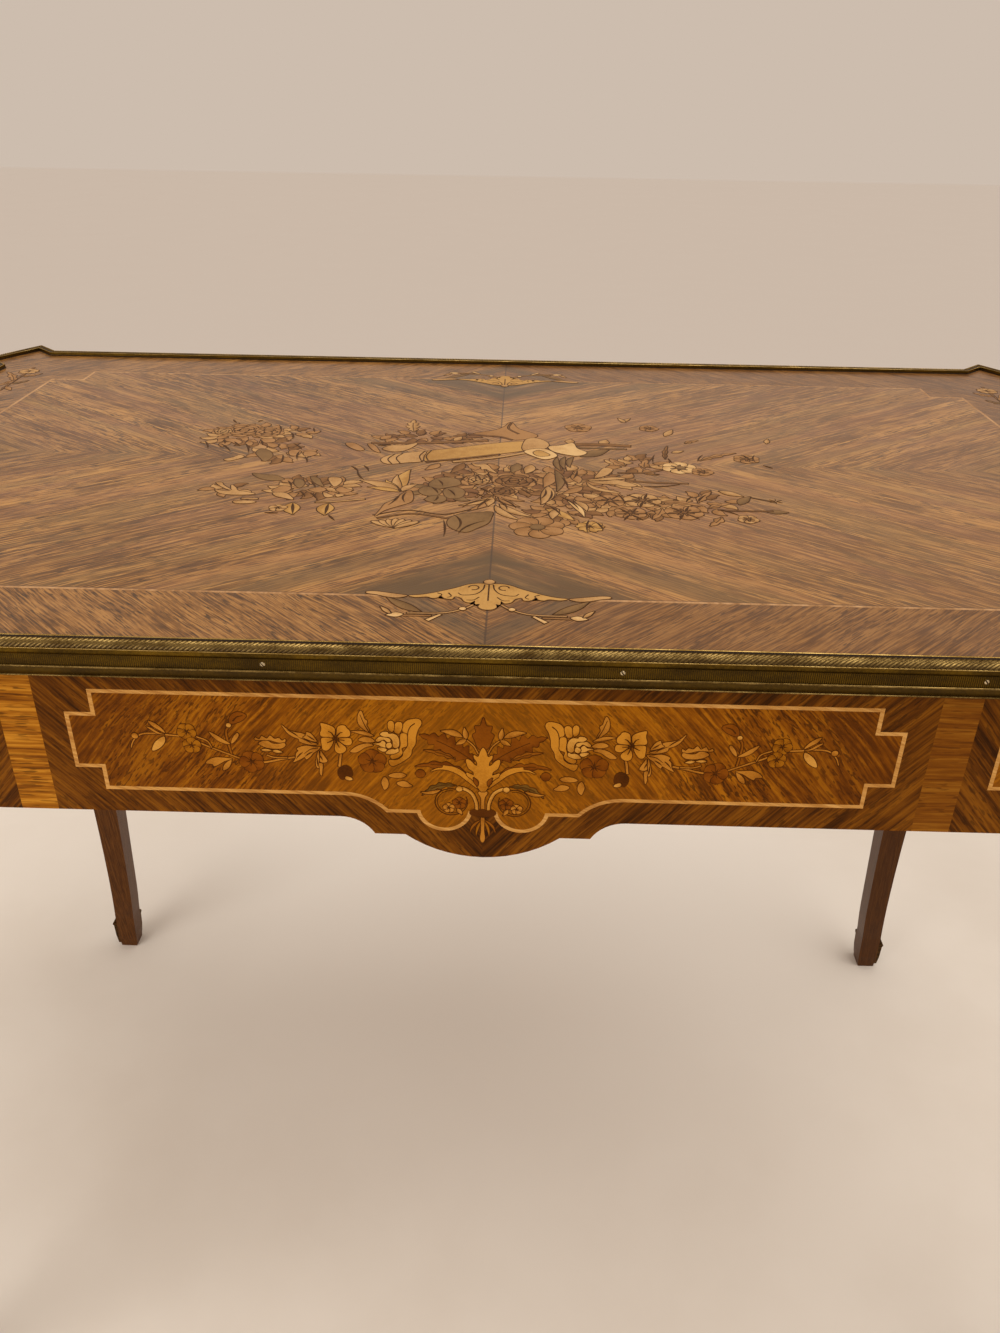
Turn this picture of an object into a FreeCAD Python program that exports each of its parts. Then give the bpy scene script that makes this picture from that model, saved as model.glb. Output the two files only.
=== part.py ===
import FreeCAD, Part
import os
from math import atan2, ceil, cos, degrees, floor, pi, sin, sqrt

# Marquetry writing table. Millimetres, +Z up, origin on the floor under the table's centre.
# The show side with the fixed frieze faces -Y and the three drawers open towards +Y.
# Left is -X and right is +X.

Vector = FreeCAD.Vector
UP = Vector(0, 0, 1)
ORIGIN = Vector(0, 0, 0)

# Plan of the table, measured on the outer face of the brass rim
table_height = 770.0
half_length = 487.0
half_depth = 304.5
ear_projection = 23.5
long_ear_setback = 11.0
end_ear_setback = 38.0

# Brass rim: heights listed upward, reliefs measured back from its outermost line
rim_width = 7.9
rim_base_height = 4.8
rim_base_relief = 1.5
rim_lower_fillet_height = 1.2
rim_reed_height = 6.4
rim_reed_relief = 0.9
rim_fascia_height = 3.2
rim_fascia_relief = 1.3
rim_upper_fillet_height = 0.8
rim_bead_height = 3.2
rim_bead_relief = 0.4
rim_lip = 3.0
rim_corner_run = 15.0
rim_pin_spacing = 181.5
rim_pin_offset = 70.0
rim_pin_head_diameter = 3.2
rim_pin_head_height = 0.9
rim_pin_shank_diameter = 1.5
rim_pin_length = 18.0

# Veneered top
veneer = 1.0
crossband_width = 60.6
string_width = 2.2
top_notch = 29.0

# Frieze and its shaped apron, seen from the front
frieze_setback = 5.9
frieze_height = 89.2
frieze_board = 19.0
apron_shoulder_x = 79.0
apron_step_x = 60.0
apron_step = 11.4
apron_lobe_x = 43.0
apron_drop = 26.4
band_inner_x = 235.4
band_width = 20.4

# String frame of each frieze panel
panel_string_inset = 15.6
panel_string_top_inset = 12.0
panel_notch = 14.3
lunette_outer_x = 76.0
lunette_shelf_x = 52.5
lunette_shelf_rise = 4.6
lunette_start_x = 35.3
lunette_depth = 11.8
lunette_tie_x = 7.0

# Legs: stile at the top, cabriole curve below it, small square foot
stile_inner_lap = 10.0
foot_size = 20.0
foot_axis_out = 0.5
foot_axis_back = 29.0
toe_height = 18.0
toe_set_in = 0.8
toe_thickness = 23.0
ankle_height = 52.0
ankle_set_in = 2.6
ankle_thickness = 23.5
arris_chamfer = 2.0
ear_root_width = 18.0

# Up the leg: share of the way from ankle to frieze, set-in from the foot's axis,
# thickness, and share of the stile's shape
leg_curve = (
    (0.12, 8.6, 24.4, 0.00),
    (0.28, 12.0, 26.6, 0.01),
    (0.44, 11.4, 29.4, 0.05),
    (0.58, 8.8, 32.6, 0.14),
    (0.70, 6.0, 36.2, 0.29),
    (0.80, 3.6, 39.6, 0.48),
    (0.89, 1.7, 42.8, 0.70),
    (0.95, 0.7, 45.0, 0.87),
)

# Bronze sabots on the outer arris of the feet
sabot_shoe_cover = 0.96
sabot_shoe_thickness = 3.0
sabot_shoe_flare = 2.0
sabot_floor_gap = 5.0
sabot_shoe_height = 40.0
sabot_leaf_cover = 0.36
sabot_leaf_thickness = 1.8
sabot_scroll_radius = 4.8
sabot_scroll_length = 14.0
sabot_roll_radius = 2.7

# Frame behind the drawers
tenon_length = 16.0
tenon_thickness = 8.0
tenon_shoulder = 12.0
rail_thickness = 14.0
rail_tenon_thickness = 6.0
runner_ledge = 14.0
guide_height = 18.0
glue_block_length = 60.0
glue_block_size = 12.0
glue_block_spacing = 150.0
screw_diameter = 4.0
screw_head_diameter = 8.0
screw_head_height = 2.5
screw_depth_in_top = 12.0
screw_reach = 150.0

# Drawers
drawer_gap = 0.5
drawer_back_space = 57.2
drawer_side = 9.0
drawer_back = 9.0
drawer_bottom = 6.0
drawer_bottom_raise = 6.0
drawer_groove = 4.0
drawer_head_room = 2.5
dovetail_count = 3
dovetail_root_share = 0.5
dovetail_flare = 2.0
dovetail_lap = 6.0
lock_width = 46.0
lock_height = 32.0
lock_thickness = 7.0
lock_bolt_width = 16.0
lock_bolt_height = 3.0
keyhole_drop = 24.0
keyhole_diameter = 6.0
keyhole_slot_width = 2.6
keyhole_length = 13.0
escutcheon_width = 20.0
escutcheon_height = 34.0
escutcheon_thickness = 1.2

# Sizes worked out from the ones above
rim_height = (rim_base_height + rim_lower_fillet_height + rim_reed_height
              + rim_fascia_height + rim_upper_fillet_height + rim_bead_height)
underside = table_height - rim_height
top_surface = table_height - rim_lip
board_top = top_surface - veneer
frieze_bottom = underside - frieze_height
frieze_face_y = half_depth - frieze_setback
frieze_face_x = half_length - frieze_setback
board_face_y = frieze_face_y - veneer
board_face_x = frieze_face_x - veneer
board_back_y = board_face_y - frieze_board
board_back_x = board_face_x - frieze_board
ear_run = long_ear_setback + ear_projection
stile_inner_x = half_length - ear_run - frieze_setback - stile_inner_lap
stile_inner_y = half_depth - end_ear_setback - ear_projection - frieze_setback - stile_inner_lap
band_outer_x = band_inner_x + band_width
rail_front_y = board_back_y - drawer_gap
rail_top = frieze_bottom + rail_thickness
kicker_bottom = underside - rail_thickness


# Small drawing helpers

def inset_polygon(points, distance):
    """A closed counter-clockwise polygon with every side moved inward by distance."""
    moved = []
    for before, here, after in zip(points[-1:] + points[:-1], points, points[1:] + points[:1]):
        arriving = (here - before).normalize()
        leaving = (after - here).normalize()
        inward_arriving = Vector(-arriving.y, arriving.x, 0)
        inward_leaving = Vector(-leaving.y, leaving.x, 0)
        share = distance / (1 + inward_arriving.dot(inward_leaving))
        moved.append(here + (inward_arriving + inward_leaving) * share)
    return moved


def closed_face(points):
    return Part.Face(Part.makePolygon(points + points[:1]))


def prism(points, low, high):
    """An upright prism on a plan polygon, from height low to height high."""
    return closed_face([Vector(p.x, p.y, low) for p in points]).extrude(UP * (high - low))


def block(x_low, x_high, y_low, y_high, z_low, z_high):
    size = (x_high - x_low, y_high - y_low, z_high - z_low)
    return Part.makeBox(*size, Vector(x_low, y_low, z_low))


def mirror_x(shape):
    return shape.mirror(ORIGIN, Vector(1, 0, 0))


def mirror_y(shape):
    return shape.mirror(ORIGIN, Vector(0, 1, 0))


def both_ends(shape):
    return [shape, mirror_x(shape)]


def elevation(x, z):
    """A point of a frieze face drawn flat: x along the face, z up, outward is -Y."""
    return Vector(x, 0, z)


def line(start, end):
    return Part.LineSegment(elevation(*start), elevation(*end)).toShape()


def arc(start, middle, end):
    return Part.Arc(elevation(*start), elevation(*middle), elevation(*end)).toShape()


def mirrored_edges(edges):
    """The same run of edges on the other side of x = 0, in running order."""
    return [mirror_x(edge) for edge in reversed(edges)]


def frieze_side(shape, side, along=0.0):
    """Moves something drawn flat in elevation to its side of the table."""
    turn, distance = {
        "front": (0, frieze_face_y),
        "back": (180, frieze_face_y),
        "left": (-90, frieze_face_x),
        "right": (90, frieze_face_x),
    }[side]
    placed = shape.copy()
    placed.translate(Vector(along, -distance, 0))
    placed.rotate(ORIGIN, UP, turn)
    return placed


def save(name, shapes):
    group = shapes if isinstance(shapes, list) else [shapes]
    solids = [solid for shape in group for solid in shape.Solids]
    Part.makeCompound(solids).exportStep("parts/" + name + ".step")


# Plan outlines

def corner_points(sign_x, sign_y):
    """The four outer points of one canted corner, counter-clockwise round the table."""
    end_ear_y = half_depth - end_ear_setback
    long_ear_x = half_length - long_ear_setback
    quarter = [
        (half_length, end_ear_y - ear_projection),
        (half_length + ear_projection, end_ear_y),
        (long_ear_x, half_depth + ear_projection),
        (long_ear_x - ear_projection, half_depth),
    ]
    if sign_x * sign_y < 0:
        quarter.reverse()
    return [Vector(sign_x * x, sign_y * y, 0) for x, y in quarter]


def table_outline(inset):
    points = []
    for sign_x, sign_y in ((1, 1), (-1, 1), (-1, -1), (1, -1)):
        points += corner_points(sign_x, sign_y)
    return inset_polygon(points, inset)


def top_string_line():
    """Middle line of the light string on the top: a rectangle with notched corners."""
    x = half_length - rim_width - crossband_width
    y = half_depth - rim_width - crossband_width
    quarter = [(x, y - top_notch), (x - top_notch, y - top_notch), (x - top_notch, y)]
    points = []
    for sign_x, sign_y in ((1, 1), (-1, 1), (-1, -1), (1, -1)):
        corner = quarter if sign_x * sign_y > 0 else quarter[::-1]
        points += [Vector(sign_x * px, sign_y * py, 0) for px, py in corner]
    return points


# Top

def quarters(shape):
    """One solid cut at the two centre lines of the table."""
    reach = half_length + half_depth
    pieces = []
    for sign_x in (-1, 1):
        for sign_y in (-1, 1):
            x_low, x_high = sorted((0, sign_x * reach))
            y_low, y_high = sorted((0, sign_y * reach))
            pieces.append(shape.common(block(x_low, x_high, y_low, y_high, 0, table_height)))
    return pieces


def top_veneers():
    middle = top_string_line()
    outer = prism(inset_polygon(middle, -string_width / 2), board_top, top_surface)
    inner = prism(inset_polygon(middle, string_width / 2), board_top, top_surface)
    whole = prism(table_outline(rim_width), board_top, top_surface)
    save("top_field_veneer", quarters(inner))
    save("top_stringing", outer.cut(inner))
    save("top_crossbanding", quarters(whole.cut(outer)))


def rim_profile(at):
    """The brass moulding's section in the plane X = at.x, its inner face on the board's edge."""
    base_top = underside + rim_base_height
    reed_low = base_top + rim_lower_fillet_height
    reed_high = reed_low + rim_reed_height
    fascia_top = reed_high + rim_fascia_height
    bead_low = fascia_top + rim_upper_fillet_height
    bead_out = rim_width - rim_bead_relief
    bead_in = bead_out - rim_bead_height
    steps = [
        (0, table_height), (0, underside),
        (rim_width - rim_base_relief, underside), (rim_width - rim_base_relief, base_top),
        (rim_width, base_top), (rim_width, reed_low),
        (rim_width - rim_reed_relief, reed_low), (rim_width - rim_reed_relief, reed_high),
        (rim_width - rim_fascia_relief, reed_high), (rim_width - rim_fascia_relief, fascia_top),
        (rim_width, fascia_top), (rim_width, bead_low), (bead_out, bead_low),
    ]
    points = [Vector(at.x, at.y + out, z) for out, z in steps]
    bead_top = Vector(at.x, at.y + bead_in, table_height)
    slant = rim_bead_height * sin(pi / 4)
    bead_middle = Vector(at.x, at.y + bead_in + slant, bead_low + slant)
    edges = [Part.makeLine(a, b) for a, b in zip(points, points[1:])]
    edges.append(Part.Arc(points[-1], bead_middle, bead_top).toShape())
    edges.append(Part.makeLine(bead_top, points[0]))
    return Part.Wire(edges)


def rim_long_end():
    """Where the straight brass of a long edge meets the corner piece."""
    return half_length - ear_run - rim_corner_run


def rim_short_end():
    return half_depth - end_ear_setback - ear_projection - rim_corner_run


def rim_corner():
    """One corner piece: a short straight run, jog, canted face, jog and short run."""
    edge = half_depth - rim_width
    start = Vector(rim_long_end(), edge, 0)
    finish = Vector(half_length - rim_width, rim_short_end(), 0)
    turns = table_outline(rim_width)[:4][::-1]
    path = Part.makePolygon([start] + turns + [finish])
    return path.makePipeShell([rim_profile(start)], True, False, 1)


def pin_head(seat):
    """Domed head of a rim pin: the cap of a ball, standing out from its seat towards -Y."""
    edge = rim_pin_head_diameter / 2
    ball = (edge ** 2 + rim_pin_head_height ** 2) / (2 * rim_pin_head_height)
    sunk = ball - rim_pin_head_height
    latitude = degrees(atan2(sunk, edge))
    centre = seat + Vector(0, sunk, 0)
    return Part.makeSphere(ball, centre, Vector(0, -1, 0), latitude, 90, 360)


def rim_pins():
    """Round-headed pins through the reeded band, as (whole pins, bare shanks)."""
    band_middle = underside + rim_base_height + rim_lower_fillet_height + rim_reed_height / 2
    pins = []
    shanks = []
    for reach, offset, edge, turns in (
        (rim_long_end(), rim_pin_offset, half_depth, (0, 180)),
        (rim_short_end(), 0, half_length, (-90, 90)),
    ):
        fewest = ceil((rim_corner_run - reach - offset) / rim_pin_spacing)
        most = floor((reach - rim_corner_run - offset) / rim_pin_spacing)
        for step in range(fewest, most + 1):
            seat = Vector(offset + step * rim_pin_spacing, rim_reed_relief - edge, band_middle)
            shank = Part.makeCylinder(rim_pin_shank_diameter / 2, rim_pin_length, seat, Vector(0, 1, 0))
            pin = shank.fuse(pin_head(seat))
            for turn in turns:
                for piece, group in ((pin, pins), (shank, shanks)):
                    placed = piece.copy()
                    placed.rotate(ORIGIN, UP, turn)
                    group.append(placed)
    return pins, shanks


def top_and_rim(screw_shanks):
    pins, shanks = rim_pins()
    drilled = Part.makeCompound(shanks)
    board = prism(table_outline(rim_width), underside, board_top)
    save("top_board", board.cut(drilled).cut(Part.makeCompound(screw_shanks)))
    long_run = Part.Face(rim_profile(Vector(-rim_long_end(), half_depth - rim_width, 0)))
    long_run = long_run.extrude(Vector(2 * rim_long_end(), 0, 0))
    end_run = Part.Face(rim_profile(Vector(-rim_short_end(), half_length - rim_width, 0)))
    end_run = end_run.extrude(Vector(2 * rim_short_end(), 0, 0))
    for name, run, turn in (
        ("rim_back", long_run, 0),
        ("rim_front", long_run, 180),
        ("rim_left", end_run, 90),
        ("rim_right", end_run, -90),
    ):
        placed = run.copy()
        placed.rotate(ORIGIN, UP, turn)
        save(name, placed.cut(drilled))
    corner = rim_corner()
    save("rim_corners", both_ends(corner) + both_ends(mirror_y(corner)))
    save("rim_pins", pins)


# Legs

def stile_section():
    """Plan of the stile: seven points from its inner corner round the canted ear."""
    end_low, end_ear, long_ear, long_low = table_outline(frieze_setback)[:4]
    return [
        Vector(stile_inner_x, stile_inner_y, 0),
        Vector(stile_inner_x, frieze_face_y, 0),
        long_low, long_ear, end_ear, end_low,
        Vector(frieze_face_x, stile_inner_y, 0),
    ]


def square_section(set_in, thickness):
    """Plan of the square leg with its eased outer arris, point for point like the stile."""
    x = half_length + foot_axis_out - set_in - thickness / 2
    y = half_depth - foot_axis_back - set_in - thickness / 2
    far_x = x + thickness
    far_y = y + thickness
    return [
        Vector(x, y, 0),
        Vector(x, far_y, 0),
        Vector(far_x - ear_root_width, far_y, 0),
        Vector(far_x - arris_chamfer, far_y, 0),
        Vector(far_x, far_y - arris_chamfer, 0),
        Vector(far_x, far_y - ear_root_width, 0),
        Vector(far_x, y, 0),
    ]


def foot_sections():
    """The lowest three sections, which the sabot wraps."""
    return [
        (0.0, square_section(0.0, foot_size)),
        (toe_height, square_section(toe_set_in, toe_thickness)),
        (ankle_height, square_section(ankle_set_in, ankle_thickness)),
    ]


def curve_sections():
    """Sections of the cabriole curve, from the ankle to the foot of the stile."""
    stile = stile_section()
    sections = [foot_sections()[-1]]
    for share, set_in, thickness, stile_share in leg_curve:
        height = ankle_height + share * (frieze_bottom - ankle_height)
        plain = square_section(set_in, thickness)
        mixed = [p + (s - p) * stile_share for p, s in zip(plain, stile)]
        sections.append((height, mixed))
    sections.append((frieze_bottom, stile))
    return sections


def lofted(sections, ruled):
    wires = []
    for height, points in sections:
        raised = [Vector(p.x, p.y, height) for p in points]
        wires.append(Part.makePolygon(raised + raised[:1]))
    return Part.makeLoft(wires, True, ruled)


def whole_leg():
    """Foot, cabriole curve and stile as one piece of wood."""
    foot = lofted(foot_sections(), True)
    curve = lofted(curve_sections(), False)
    stile = prism(stile_section(), frieze_bottom, underside)
    return foot.fuse([curve, stile])


def long_tenon():
    """Tenon of a long frieze board in a stile, drawn at the +X, +Y corner."""
    middle = board_face_y - frieze_board / 2
    return block(stile_inner_x, stile_inner_x + tenon_length,
                 middle - tenon_thickness / 2, middle + tenon_thickness / 2,
                 frieze_bottom + tenon_shoulder, underside - tenon_shoulder)


def end_tenon():
    """Tenon of an end frieze board in a stile, drawn at the +X, +Y corner."""
    middle = board_face_x - frieze_board / 2
    return block(middle - tenon_thickness / 2, middle + tenon_thickness / 2,
                 stile_inner_y, stile_inner_y + tenon_length,
                 frieze_bottom + tenon_shoulder, underside - tenon_shoulder)


def rail_tenon(low):
    """Tenon of a drawer rail in a stile, drawn at the +X, +Y corner."""
    middle = (stile_inner_y + rail_front_y) / 2
    reach = (rail_front_y - stile_inner_y) / 2 - tenon_shoulder
    rise = low + (rail_thickness - rail_tenon_thickness) / 2
    return block(stile_inner_x, stile_inner_x + tenon_length, middle - reach, middle + reach,
                 rise, rise + rail_tenon_thickness)


def legs(leg):
    whole = leg.cut(end_tenon())
    plain = whole.cut(long_tenon())
    drawer_side_leg = whole.cut(rail_tenon(frieze_bottom)).cut(rail_tenon(kicker_bottom))
    save("leg_back_right", drawer_side_leg)
    save("leg_back_left", mirror_x(drawer_side_leg))
    save("leg_front_right", mirror_y(plain))
    save("leg_front_left", mirror_x(mirror_y(plain)))


def sabot_ends(points, cover):
    """Where bronze that covers a share of the two outer faces ends, on one section of the foot."""
    front_inner, arris_front, arris_end, end_inner = points[1], points[3], points[4], points[6]
    front = arris_front + (front_inner - arris_front) * cover
    end = arris_end + (end_inner - arris_end) * cover
    return front, arris_front, arris_end, end


def sabot_shell(cover, thickness, flare, high):
    """Bronze round the outer arris, from the floor gap up, thicker by the flare at the ankle."""
    sections = []
    for height, points in foot_sections():
        front, arris_front, arris_end, end = sabot_ends(points, cover)
        reach = thickness + flare * height / ankle_height
        out_x = Vector(reach, 0, 0)
        out_y = Vector(0, reach, 0)
        outer = [end + out_x, arris_end + out_x, arris_front + out_y, front + out_y]
        sections.append((height, [front, arris_front, arris_end, end] + outer))
    return lofted(sections, True).common(block(0, 2 * half_length, 0, 2 * half_depth, sabot_floor_gap, high))


def sabot_rolls():
    """Rolled upper edge of the shoe along both faces, and the larger scroll across the arris."""
    front, arris_front, arris_end, end = sabot_ends(foot_sections()[-1][1], sabot_shoe_cover)
    out = sabot_shoe_thickness + sabot_shoe_flare * sabot_shoe_height / ankle_height - sabot_roll_radius / 2
    middle = (arris_front + arris_end) / 2
    across = (arris_end - arris_front).normalize()
    scroll_start = middle - across * (sabot_scroll_length / 2)
    rolls = []
    for start, way, length, radius in (
        (scroll_start, across, sabot_scroll_length, sabot_scroll_radius),
        (front + Vector(0, out, 0), Vector(1, 0, 0), arris_end.x - front.x, sabot_roll_radius),
        (end + Vector(out, 0, 0), Vector(0, 1, 0), arris_front.y - end.y, sabot_roll_radius),
    ):
        start.z = sabot_shoe_height
        rolls.append(Part.makeCylinder(radius, length, start, way))
    return rolls


def sabots(leg):
    """Bronze shoe on the two outer faces of each foot, rolled at its top, with a leaf up the arris."""
    shoe = sabot_shell(sabot_shoe_cover, sabot_shoe_thickness, sabot_shoe_flare, sabot_shoe_height)
    leaf = sabot_shell(sabot_leaf_cover, sabot_leaf_thickness, 0, ankle_height)
    sabot = shoe.fuse([leaf] + sabot_rolls()).cut(leg)
    save("sabot_back_right", sabot)
    save("sabot_back_left", mirror_x(sabot))
    save("sabot_front_right", mirror_y(sabot))
    save("sabot_front_left", mirror_x(mirror_y(sabot)))


# Frieze faces, drawn flat in elevation

def apron_half(reach):
    """Lower edge of the frieze from x = -reach to the left end of the round lobe."""
    run = apron_shoulder_x - apron_step_x
    radius = (run ** 2 + apron_step ** 2) / (2 * apron_step)
    half_turn = atan2(run, radius - apron_step) / 2
    shoulder = (-apron_shoulder_x, frieze_bottom)
    swell = (-apron_shoulder_x + radius * sin(half_turn),
             frieze_bottom - radius * (1 - cos(half_turn)))
    step_low = frieze_bottom - apron_step
    return [
        line((-reach, frieze_bottom), shoulder),
        arc(shoulder, swell, (-apron_step_x, step_low)),
        line((-apron_step_x, step_low), (-apron_lobe_x, step_low)),
    ]


def face_outline(reach, top, apron):
    """Outline of a frieze board or drawer front from x = -reach to x = reach."""
    if apron:
        left = apron_half(reach)
        step_low = frieze_bottom - apron_step
        lobe = arc((-apron_lobe_x, step_low), (0, frieze_bottom - apron_drop), (apron_lobe_x, step_low))
        lower = left + [lobe] + mirrored_edges(left)
    else:
        lower = [line((-reach, frieze_bottom), (reach, frieze_bottom))]
    sides = [
        line((reach, frieze_bottom), (reach, top)),
        line((reach, top), (-reach, top)),
        line((-reach, top), (-reach, frieze_bottom)),
    ]
    return Part.Wire(Part.__sortEdges__(lower + sides))


def lunette(shelf, grow):
    """Round dip of the string beside the centre, from its outer end to the tie."""
    middle = (lunette_start_x + lunette_tie_x) / 2
    half_chord = (lunette_start_x - lunette_tie_x) / 2
    radius = (half_chord ** 2 + lunette_depth ** 2) / (2 * lunette_depth)
    below_centre = radius - lunette_depth + grow
    grown_chord = sqrt((radius + grow) ** 2 - below_centre ** 2)
    level = shelf - grow
    outer_end = (-middle - grown_chord, level)
    tie_end = (-middle + grown_chord, level)
    return outer_end, arc(outer_end, (-middle, level - lunette_depth), tie_end), tie_end


def string_shoulder(low, shelf, grow):
    """Round shoulder of the string, from its level run down to the shelf beside the lunette."""
    run = lunette_outer_x - lunette_shelf_x
    drop = low - shelf
    radius = (run ** 2 + drop ** 2) / (2 * drop)
    grown_radius = radius - grow
    end_rise = radius - drop - grow
    end_run = sqrt(grown_radius ** 2 - end_rise ** 2)
    half_turn = atan2(end_run, end_rise) / 2
    start = (-lunette_outer_x, low - grow)
    middle = (-lunette_outer_x + grown_radius * sin(half_turn), low - radius + grown_radius * cos(half_turn))
    end = (-lunette_outer_x + end_run, shelf - grow)
    return start, arc(start, middle, end), end


def string_outline(reach, apron, grow):
    """A panel's string line with notched corners and apron lunettes, moved outward by grow."""
    out = reach - panel_string_inset + grow
    low = frieze_bottom + panel_string_inset - grow
    high = underside - panel_string_top_inset + grow
    inner = out - panel_notch
    corners = [
        (-inner, low), (-inner, low + panel_notch), (-out, low + panel_notch),
        (-out, high - panel_notch), (-inner, high - panel_notch), (-inner, high), (0, high),
    ]
    left = [line(a, b) for a, b in zip(corners, corners[1:])]
    if apron:
        shelf = frieze_bottom + lunette_shelf_rise
        start, shoulder, end = string_shoulder(frieze_bottom + panel_string_inset, shelf, grow)
        outer_end, dip, tie_end = lunette(shelf, grow)
        left += [line((-inner, low), start), shoulder, line(end, outer_end)]
        left += [dip, line(tie_end, (0, shelf - grow))]
    else:
        left.append(line((-inner, low), (0, low)))
    return Part.Wire(Part.__sortEdges__(left + mirrored_edges(left)))


def veneered_face(reach, top, apron):
    """Crossbanding, string and two book-matched sheets of one panel."""
    outer = Part.Face(string_outline(reach, apron, string_width / 2))
    inner = Part.Face(string_outline(reach, apron, -string_width / 2))
    whole = Part.Face(face_outline(reach, top, apron))
    depth = Vector(0, veneer, 0)
    sheet = inner.extrude(depth)
    halves = [
        sheet.common(block(-reach, 0, 0, veneer, 0, table_height)),
        sheet.common(block(0, reach, 0, veneer, 0, table_height)),
    ]
    crossbanding = whole.cut(outer).extrude(depth)
    string = outer.cut(inner).extrude(depth)
    return crossbanding, string, Part.makeCompound(halves)


def backing_board(reach, top, apron):
    """The plain board behind a veneered face."""
    board = Part.Face(face_outline(reach, top, apron)).extrude(Vector(0, frieze_board, 0))
    board.translate(Vector(0, veneer, 0))
    return board


def band(x_low):
    """Light cross-grained strip over a drawer divider or its sham."""
    return block(x_low, x_low + band_width, 0, veneer, frieze_bottom, underside)


def front_frieze():
    board = frieze_side(backing_board(stile_inner_x, underside, True), "front")
    tenon = mirror_y(long_tenon())
    save("front_frieze_board", board.fuse(both_ends(tenon)))
    flank_reach = (stile_inner_x - band_outer_x) / 2
    flank_middle = (stile_inner_x + band_outer_x) / 2
    faces = [(veneered_face(band_inner_x, underside, True), 0.0)]
    flank = veneered_face(flank_reach, underside, False)
    faces += [(flank, -flank_middle), (flank, flank_middle)]
    names = ("front_frieze_crossbanding", "front_frieze_stringing", "front_frieze_panels")
    for layer, name in enumerate(names):
        save(name, [frieze_side(face[layer], "front", along) for face, along in faces])
    strips = [band(band_inner_x), band(-band_outer_x)]
    save("front_frieze_bands", [frieze_side(strip, "front") for strip in strips])


def end_friezes():
    tenons = [end_tenon(), mirror_y(end_tenon())]
    board = frieze_side(backing_board(stile_inner_y, underside, True), "right").fuse(tenons)
    crossbanding, string, sheets = veneered_face(stile_inner_y, underside, True)
    for side in ("left", "right"):
        save(side + "_frieze_board", board if side == "right" else mirror_x(board))
        save(side + "_frieze_veneer", [frieze_side(crossbanding, side), frieze_side(sheets, side)])
        save(side + "_frieze_stringing", frieze_side(string, side))


# Frame round the drawers

def drawer_rail(low):
    body = block(-stile_inner_x, stile_inner_x, stile_inner_y, rail_front_y, low, low + rail_thickness)
    return body.fuse(both_ends(rail_tenon(low)))


def drawer_divider():
    """Upright between two drawers: full height in front, between the rails behind."""
    front = block(band_inner_x, band_outer_x, rail_front_y, board_face_y, frieze_bottom, underside)
    behind = block(band_inner_x, band_outer_x, stile_inner_y, rail_front_y, rail_top, kicker_bottom)
    return front.fuse(behind).removeSplitter()


def middle_strip(low, high, ledge):
    """Strip under or over a divider, from the front frieze to the drawer rail."""
    return block(band_inner_x - ledge, band_outer_x + ledge, -board_back_y, stile_inner_y, low, high)


def end_strip(low, high, ledge):
    """Strip along an end frieze, between its two stiles."""
    return block(stile_inner_x - ledge, board_back_x, -stile_inner_y, stile_inner_y, low, high)


def kicker_screws():
    """Screws up through the kickers into the top, as (screws, bare shanks)."""
    length = rail_thickness + screw_depth_in_top
    screws = []
    shanks = []
    for x in ((band_inner_x + band_outer_x) / 2, (stile_inner_x + board_back_x) / 2):
        for y in (-screw_reach, screw_reach):
            seat = Vector(x, y, kicker_bottom)
            shank = Part.makeCylinder(screw_diameter / 2, length, seat)
            head = Part.makeCone(screw_head_diameter / 2, screw_diameter / 2, screw_head_height, seat)
            screws += both_ends(shank.fuse(head).removeSplitter())
            shanks += both_ends(shank)
    return screws, shanks


def drawer_frame(screws):
    save("drawer_bottom_rail", drawer_rail(frieze_bottom))
    save("drawer_top_rail", drawer_rail(kicker_bottom))
    divider = drawer_divider()
    save("drawer_divider_right", divider)
    save("drawer_divider_left", mirror_x(divider))
    strips = [band(band_inner_x), band(-band_outer_x)]
    save("divider_bands", [frieze_side(strip, "back") for strip in strips])
    guide_top = rail_top + guide_height
    middle = middle_strip(frieze_bottom, rail_top, runner_ledge)
    middle = middle.fuse(middle_strip(rail_top, guide_top, 0)).removeSplitter()
    end = end_strip(frieze_bottom, rail_top, runner_ledge)
    end = end.fuse(end_strip(rail_top, guide_top, 0)).removeSplitter()
    save("middle_runners", both_ends(middle))
    save("end_runners", both_ends(end))
    bores = Part.makeCompound(screws)
    kickers = both_ends(middle_strip(kicker_bottom, underside, runner_ledge))
    kickers += both_ends(end_strip(kicker_bottom, underside, runner_ledge))
    save("drawer_kickers", [kicker.cut(bores) for kicker in kickers])
    save("top_screws", screws)


def glue_blocks():
    """Blocks rubbed into the angle of the top and the front frieze."""
    blocks = []
    for step in (-1, 0, 1):
        middle = step * glue_block_spacing
        half = glue_block_length / 2
        blocks.append(block(middle - half, middle + half, -board_back_y,
                            -board_back_y + glue_block_size, underside - glue_block_size, underside))
    save("glue_blocks", blocks)


# Drawers, drawn on the +Y side

def keyhole(x, y_low, y_high):
    """Round hole with a slot below it, through the drawer front."""
    eye_z = underside - keyhole_drop
    depth = y_high - y_low
    eye = Part.makeCylinder(keyhole_diameter / 2, depth, Vector(x, y_low, eye_z), Vector(0, 1, 0))
    half = keyhole_slot_width / 2
    slot = block(x - half, x + half, y_low, y_high, eye_z + keyhole_diameter / 2 - keyhole_length, eye_z)
    return eye.fuse(slot).removeSplitter()


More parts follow.
